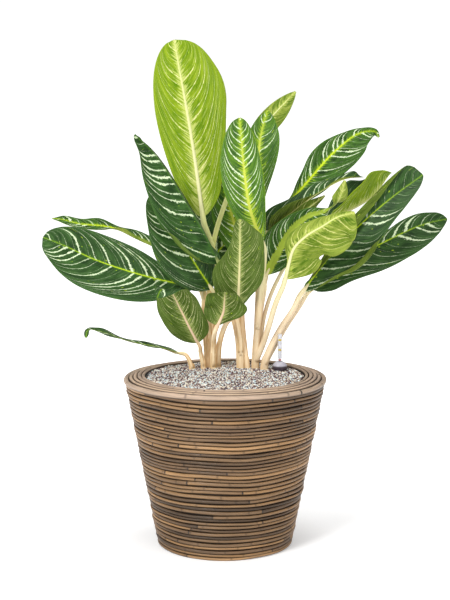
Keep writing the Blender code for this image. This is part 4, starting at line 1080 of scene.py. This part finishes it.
def turn_piece(name, profile, material, steps, replaced, centre=(0.0, 0.0)):
    """A piece turned about an upright axis from a profile of (radius, height) points."""
    shape = bmesh.new()
    points = [shape.verts.new((radius, 0, height)) for radius, height in profile]
    edges = [shape.edges.new(pair) for pair in zip(points, points[1:])]
    bmesh.ops.spin(shape, geom=points + edges, cent=(0, 0, 0), axis=(0, 0, 1),
                   angle=2 * math.pi, steps=steps, use_merge=True)
    bmesh.ops.remove_doubles(shape, verts=shape.verts, dist=0.00001)
    bmesh.ops.recalc_face_normals(shape, faces=shape.faces)
    bmesh.ops.translate(shape, verts=shape.verts, vec=(*centre, 0))
    mesh = as_mesh(name, shape, material)
    mesh.shade_smooth()
    mesh.set_sharp_from_angle(angle=math.radians(35))
    add_piece(name, mesh, replaced)


def wall_radius(pot, height):
    return pot.foot_radius + (RIM_RADIUS - 0.0015 - pot.foot_radius) * height / WALL_TOP


class EVERGREEN_OT_wall(bpy.types.Operator):
    """Wind the pot's wall from courses of cane over a dark core, painted shade that shows in the
    gaps between the canes.
    """

    bl_idname = "evergreen.wall"
    bl_label = "Cane wall"

    def execute(self, context):
        pot = context.scene.evergreen_pot
        draw = random.Random(7)
        shares = [draw.uniform(0.74, 1.26) for _ in range(pot.courses)]
        # The topmost course reaches a little over the core, up to the rim
        pitch = (WALL_TOP + 0.0022) / sum(shares)
        rings = []
        height = 0.0
        for share in shares:
            radius = share * pitch * 0.49
            centre = height + share * pitch / 2
            out = wall_radius(pot, centre) - radius - 0.0005 + draw.uniform(-0.0007, 0.0004)
            rings.append((out, centre, share))
            height += share * pitch
        # Painted shade on each cane's underside and top, where it lies against the courses below
        # and above
        skin = cane_skin("rattan_stained_with_painted_crease_shade", tuple(pot.cane), WALL_TONES, length=0.34,
                         seed=3.0, crease_shade_slopes=((-0.3, -0.75, False), (0.72, 0.98, False)))
        wind_canes("wound_canes", rings, {
            "Cane Radius": pitch * 0.47, "Wander": pot.cane_wander, "Ring Steps": 128,
            "Cane Sides": 10, "Seed": 2.0, "Material": skin}, "cane_wall")
        # The core is painted near black: painted shade seen between the canes
        core = moulded_plastic("core_painted_shade", "#1B120B", 0.8, grain_mm=2.0)
        inset, thickness = 0.0052, 0.0036
        low, high = 0.0008, WALL_TOP - 0.0002
        foot, brow = wall_radius(pot, low) - inset, wall_radius(pot, WALL_TOP) - inset
        profile = [(brow, high), (foot, low), (foot - thickness, low), (brow - thickness, high),
                   (brow, high)]
        turn_piece("wall_core", profile, core, 72, ["cane_wall"])
        return {"FINISHED"}


class EVERGREEN_OT_rim(bpy.types.Operator):
    """Lay rings of paler cane side by side on the wall's top edge."""

    bl_idname = "evergreen.rim"
    bl_label = "Cane rim"

    def execute(self, context):
        pot = context.scene.evergreen_pot
        # Four rings alike and a thicker one outside them, stepping down a little outwards
        outer = 0.0046
        radius = (RIM_RADIUS - RIM_INNER - 2 * outer) / 8
        rings = []
        for ring in range(5):
            own = outer if ring == 4 else radius
            off_axis = RIM_RADIUS - outer if ring == 4 else RIM_INNER + radius * (2 * ring + 1)
            share = (off_axis - RIM_INNER) / (RIM_RADIUS - RIM_INNER)
            height = POT_TOP - own - 0.0060 * max(0.0, share - 0.35) / 0.65
            rings.append((off_axis - 0.0002, height, own / radius))
        # Painted shade on each ring's sides, where the rings lie against each other, but not on the
        # outer ring's outside, and under the rings
        skin = cane_skin("rattan_rim_peeled_with_painted_crease_shade", tuple(pot.rim_cane), RIM_TONES, length=0.55,
                         seed=31.0, crease_shade_slopes=((0.76, 0.3, True), (-0.1, -0.7, False)))
        wind_canes("rim_canes", rings, {
            "Cane Radius": radius * 0.95, "Wander": 0.0003, "Ring Steps": 160, "Cane Sides": 16,
            "Seed": 9.0, "Material": skin}, "cane_rim")
        # The bed under the rim's rings is painted near black: painted shade seen between and under
        # the rings
        bed = moulded_plastic("rim_bed_painted_shade", "#1B120B", 0.8, grain_mm=2.0)
        near, far = RIM_INNER + 0.001, RIM_RADIUS - 0.004
        low, high = RIM_LOW[2], POT_TOP - 0.0085
        profile = [(near, high), (far, high), (far, low), (near, low), (near, high)]
        turn_piece("rim_bed", profile, bed, 72, ["cane_rim"])
        return {"FINISHED"}


class EVERGREEN_OT_liner(bpy.types.Operator):
    """Finish the liner and the board under it, whose solids stay as they are."""

    bl_idname = "evergreen.liner"
    bl_label = "Liner and board"

    def execute(self, context):
        finish_node("liner", moulded_plastic("polypropylene_moulded_black", "#17150F", 0.5))
        finish_node("base_board", plywood("plywood_sanded"))
        return {"FINISHED"}


class EVERGREEN_OT_granulate(bpy.types.Operator):
    """Scatter grains over the heaped top of the granulate."""

    bl_idname = "evergreen.granulate"
    bl_label = "Granulate"

    def execute(self, context):
        pot = context.scene.evergreen_pot
        stones = stone_skin("clay_and_pumice_broken")
        # The granulate's surface under the grains is painted dark: painted shade in the gaps
        # between the grains
        grain_bed_shade = moulded_plastic("grain_bed_painted_shade", "#33282A", 0.9, grain_mm=2.4)
        finish_node("granulate", grain_bed_shade)
        shape = bmesh.new()
        bmesh.ops.create_grid(shape, x_segments=160, y_segments=160, size=LINER_RADIUS)
        brim, lip, lift = LINER_RADIUS - 0.0022, LINER_RADIUS - 0.0028, 0.0006
        outside = []
        for vertex in shape.verts:
            radius = math.hypot(vertex.co.x, vertex.co.y)
            turn = math.atan2(vertex.co.y, vertex.co.x)
            # In places the grains lie over the liner's edge
            spill = 0.0011 * (math.sin(5 * turn + 1.0) + math.sin(13 * turn + 2.0))
            if radius > brim + spill:
                outside.append(vertex)
            heap = SOIL_HEAP * (1 - (radius / LINER_RADIUS) ** 2)
            vertex.co.z = LINER_TOP if radius > lip else SOIL_EDGE + heap + lift
        bmesh.ops.delete(shape, geom=outside, context="VERTS")
        helper = placed("granulate_top", as_mesh("granulate_top", shape))
        run_tree(helper, grain_tree(), {
            "Grain Size": pot.grain_size, "Seed": pot.grain_seed, "Material": stones})
        add_piece("loose_grains", settled("loose_grains", helper), [])
        return {"FINISHED"}


class EVERGREEN_OT_gauge(bpy.types.Operator):
    """Turn the water gauge: a coned collar, a clear tube with two marks and a red float."""

    bl_idname = "evergreen.gauge"
    bl_label = "Water gauge"

    def execute(self, context):
        x, y = ((low + high) / 2 for low, high in zip(COLLAR_LOW[:2], COLLAR_HIGH[:2]))
        collar, tube, buoy = ((high[0] - low[0]) / 2 for low, high in (
            (COLLAR_LOW, COLLAR_HIGH), (TUBE_LOW, TUBE_HIGH), (FLOAT_LOW, FLOAT_HIGH)))

        top = COLLAR_HIGH[2]
        foot = top - 0.0143
        stem = 0.0060
        # The collar is painted darker towards its foot
        grey = moulded_plastic("polypropylene_moulded_grey", "#B4B1BC", 0.3,
                               dark=("#382D36", top - 0.0086, top - 0.0058))
        cone = [(tube + 0.0012, top), (0.0072, top - 0.0010), (0.0092, top - 0.0027),
                (0.0118, top - 0.0054), (0.0126, top - 0.0068), (collar, top - 0.0085)]
        profile = [(0, top - 0.002), (tube + 0.0002, top - 0.002), (tube + 0.0002, top), *cone,
                   (collar, foot + 0.0006), (collar - 0.0005, foot), (stem, foot),
                   (stem, COLLAR_LOW[2]), (0, COLLAR_LOW[2])]
        turn_piece("gauge_dome", profile, grey, 48, ["gauge_collar"], (x, y))

        top, bottom = TUBE_HIGH[2], TUBE_LOW[2]
        bore = tube - 0.0008
        profile = [(0, top), (tube - 0.0012, top), (tube, top - 0.001), (tube, bottom),
                   (bore, bottom), (bore, top - 0.0012), (0, top - 0.001)]
        turn_piece("gauge_clear_tube", profile, clear_tube("polystyrene_clear"), 40,
                   ["gauge_tube"], (x, y))

        red = moulded_plastic("polypropylene_moulded_red", "#B5291C", 0.35)
        high, low = FLOAT_HIGH[2], FLOAT_LOW[2]
        profile = [(0, high), (buoy * 0.6, high - 0.0004), (buoy * 0.92, high - 0.0012),
                   (buoy, (high + low) / 2), (buoy * 0.92, low + 0.0012),
                   (buoy * 0.6, low + 0.0004), (0, low)]
        turn_piece("gauge_red_float", profile, red, 32, ["gauge_float"], (x, y))

        # The scale stands in the tube. The marks come through its near side, where they show.
        yellow = moulded_plastic("polystyrene_moulded_yellow", "#BFA42A", 0.4)
        white = moulded_plastic("polystyrene_moulded_white", "#D6D6DC", 0.45)
        for label, low, high, radius, nearer, skin in (
                ("gauge_scale", FLOAT_HIGH[2] + 0.0006, TUBE_HIGH[2] - 0.0018, 0.0034, 0.0, white),
                ("gauge_upper_mark", 0.3466, 0.3494, 0.0030, 0.0016, yellow),
                ("gauge_lower_mark", 0.3290, 0.3318, 0.0030, 0.0016, yellow)):
            profile = [(0, high), (radius, high), (radius, low), (0, low)]
            turn_piece(label, profile, skin, 20, [], (x, y - nearer))
        return {"FINISHED"}


class EVERGREEN_OT_stalks(bpy.types.Operator):
    """Grow each shoot: its dry sheath, its leaf stalks, and the keels under their blades."""

    bl_idname = "evergreen.stalks"
    bl_label = "Shoots and stalks"

    def execute(self, context):
        stalk = tuple(context.scene.evergreen_plant.stalk)
        skins = {kind: stalk_skin("stalk_with_" + kind + "_keel", stalk, keel, far)
                 for kind, keel, far in (
                     ("pale", "#D2D09C", "#BDC774"), ("tan", "#CFC592", "#ABB46A"),
                     ("pink", "#DCBFA0", "#B9B27C"), ("green", "#3F5D2C", "#2F4A24"))}
        kinds = list(skins)
        for name, (sheaths, stalks) in SHOOTS.items():
            shape = bmesh.new()
            shape.loops.layers.uv.new("stalk")
            for layer in ("wing", "keel", "far"):
                shape.verts.layers.float.new(layer)
            for sheath in sheaths:
                grow_sheath(shape, sheath, kinds.index("tan"))
            for one in stalks:
                grow_stalk(shape, one, kinds.index(BLADES[one.leaf].keel))
            bmesh.ops.recalc_face_normals(shape, faces=shape.faces)
            mesh = as_mesh(name + "_stalks", shape, *skins.values())
            add_piece(name + "_stalks", mesh, [name])
        return {"FINISHED"}


class EVERGREEN_OT_blades(bpy.types.Operator):
    """Grow every leaf blade on its midrib, with its own finish above and below."""

    bl_idname = "evergreen.blades"
    bl_label = "Leaf blades"

    def execute(self, context):
        plant = context.scene.evergreen_plant
        pitch = plant.vein_pitch / MM
        sides = {name: leaf_side("leaf_" + name + "_side", look, pitch * look.pitch,
                                 name in ("dark", "bright"))
                 for name, look in looks(plant).items()}
        for seed, (name, blade) in enumerate(BLADES.items()):
            mesh = grow_blade(name + "_blade", blade, seed, (sides[blade.top], sides[blade.under]),
                              plant.blade_thickness)
            add_piece(name + "_blade", mesh, [name])
        return {"FINISHED"}


class EVERGREEN_OT_stage(bpy.types.Operator):
    """Set up a plain pale floor, soft light from the upper left and the camera."""

    bl_idname = "evergreen.stage"
    bl_label = "Floor, light and camera"

    def execute(self, context):
        scene = context.scene
        material, node, paint = new_material(
            "floor_painted_glow_dimmed_near_pot", roughness=0.9, specular=0.1)
        place = node("TexCoord").outputs["Object"]
        # The floor glows, painted light that keeps it white, and it glows less near the pot:
        # painted shade round the pot, under which the lamps' soft shadow shows
        away = node("VectorMath", place, operation="LENGTH")
        paint("Emission Color", (1, 1, 1, 1))
        paint("Emission Strength", node("MapRange", away, 0.2, 0.9, 0.2, 0.72,
                                        interpolation_type="SMOOTHSTEP"))
        shade = node("TexNoise", Vector=place, Scale=3.0)
        paint("Base Color", node("Mix", shade, rgba("#F9F9F9"), rgba("#FDFDFD"), data_type="RGBA"))
        shape = bmesh.new()
        bmesh.ops.create_grid(shape, x_segments=2, y_segments=2, size=30)
        placed("floor", as_mesh("floor", shape, material))

        # The backdrop is white to the camera and only half as bright as a light
        world = bpy.data.worlds.new("studio")
        world.use_nodes = True
        sky = world.node_tree.nodes["Background"].inputs
        seen = add(world.node_tree, "LightPath").outputs["Is Camera Ray"]
        feed(world.node_tree, sky["Color"], (1, 1, 1, 1))
        feed(world.node_tree, sky["Strength"],
             add(world.node_tree, "MapRange", seen, 0.0, 1.0, 0.5, 1.05))
        scene.world = world

        middle = Vector((0, 0, 0.4))
        for name, place, size, power in (
                ("key_light", (-1.5, -2.3, 2.2), 1.2, 82.0),
                ("fill_light", (1.7, -2.6, 1.5), 3.0, 29.0),
                ("top_light", (0.3, 0.2, 3.0), 1.4, 38.0)):
            lamp = bpy.data.lights.new(name, "AREA")
            lamp.shape = "DISK"
            lamp.size = size
            lamp.energy = power
            made = placed(name, lamp)
            made.location = place
            made.rotation_euler = (middle - Vector(place)).to_track_quat("-Z", "Y").to_euler()
        scene.view_settings.view_transform = "Standard"

        # The photograph was taken from a little above, with a long lens
        camera = bpy.data.cameras.new("camera")
        camera.sensor_width = 36.0
        camera.lens = 92.39
        scene.camera = placed("camera", camera)
        scene.camera.location = (0, -2.6035, 0.7963)
        scene.camera.rotation_euler = (math.pi / 2 - 0.1419, 0, 0)
        return {"FINISHED"}


OPERATORS = (EVERGREEN_OT_stage, EVERGREEN_OT_wall, EVERGREEN_OT_rim, EVERGREEN_OT_liner,
             EVERGREEN_OT_granulate, EVERGREEN_OT_gauge, EVERGREEN_OT_stalks,
             EVERGREEN_OT_blades)


class EVERGREEN_PT_panel(bpy.types.Panel):
    bl_label = "Potted Chinese evergreen"
    bl_space_type = "VIEW_3D"
    bl_region_type = "UI"
    bl_category = "Evergreen"

    def draw(self, context):
        for group in (context.scene.evergreen_plant, context.scene.evergreen_pot):
            box = self.layout.box()
            for name in group.__annotations__:
                box.prop(group, name)
        for operator in OPERATORS:
            self.layout.operator(operator.bl_idname)


def register():
    for kind in (EvergreenPlant, EvergreenPot, *OPERATORS, EVERGREEN_PT_panel):
        bpy.utils.register_class(kind)
    bpy.types.Scene.evergreen_plant = PointerProperty(type=EvergreenPlant)
    bpy.types.Scene.evergreen_pot = PointerProperty(type=EvergreenPot)


def unregister():
    del bpy.types.Scene.evergreen_plant
    del bpy.types.Scene.evergreen_pot
    for kind in (EVERGREEN_PT_panel, *reversed(OPERATORS), EvergreenPot, EvergreenPlant):
        bpy.utils.unregister_class(kind)


def main():
    register()
    bpy.ops.evergreen.stage()
    bpy.ops.evergreen.wall()
    bpy.ops.evergreen.rim()
    bpy.ops.evergreen.liner()
    bpy.ops.evergreen.granulate()
    bpy.ops.evergreen.gauge()
    bpy.ops.evergreen.stalks()
    bpy.ops.evergreen.blades()


if __name__ == "__main__":
    main()
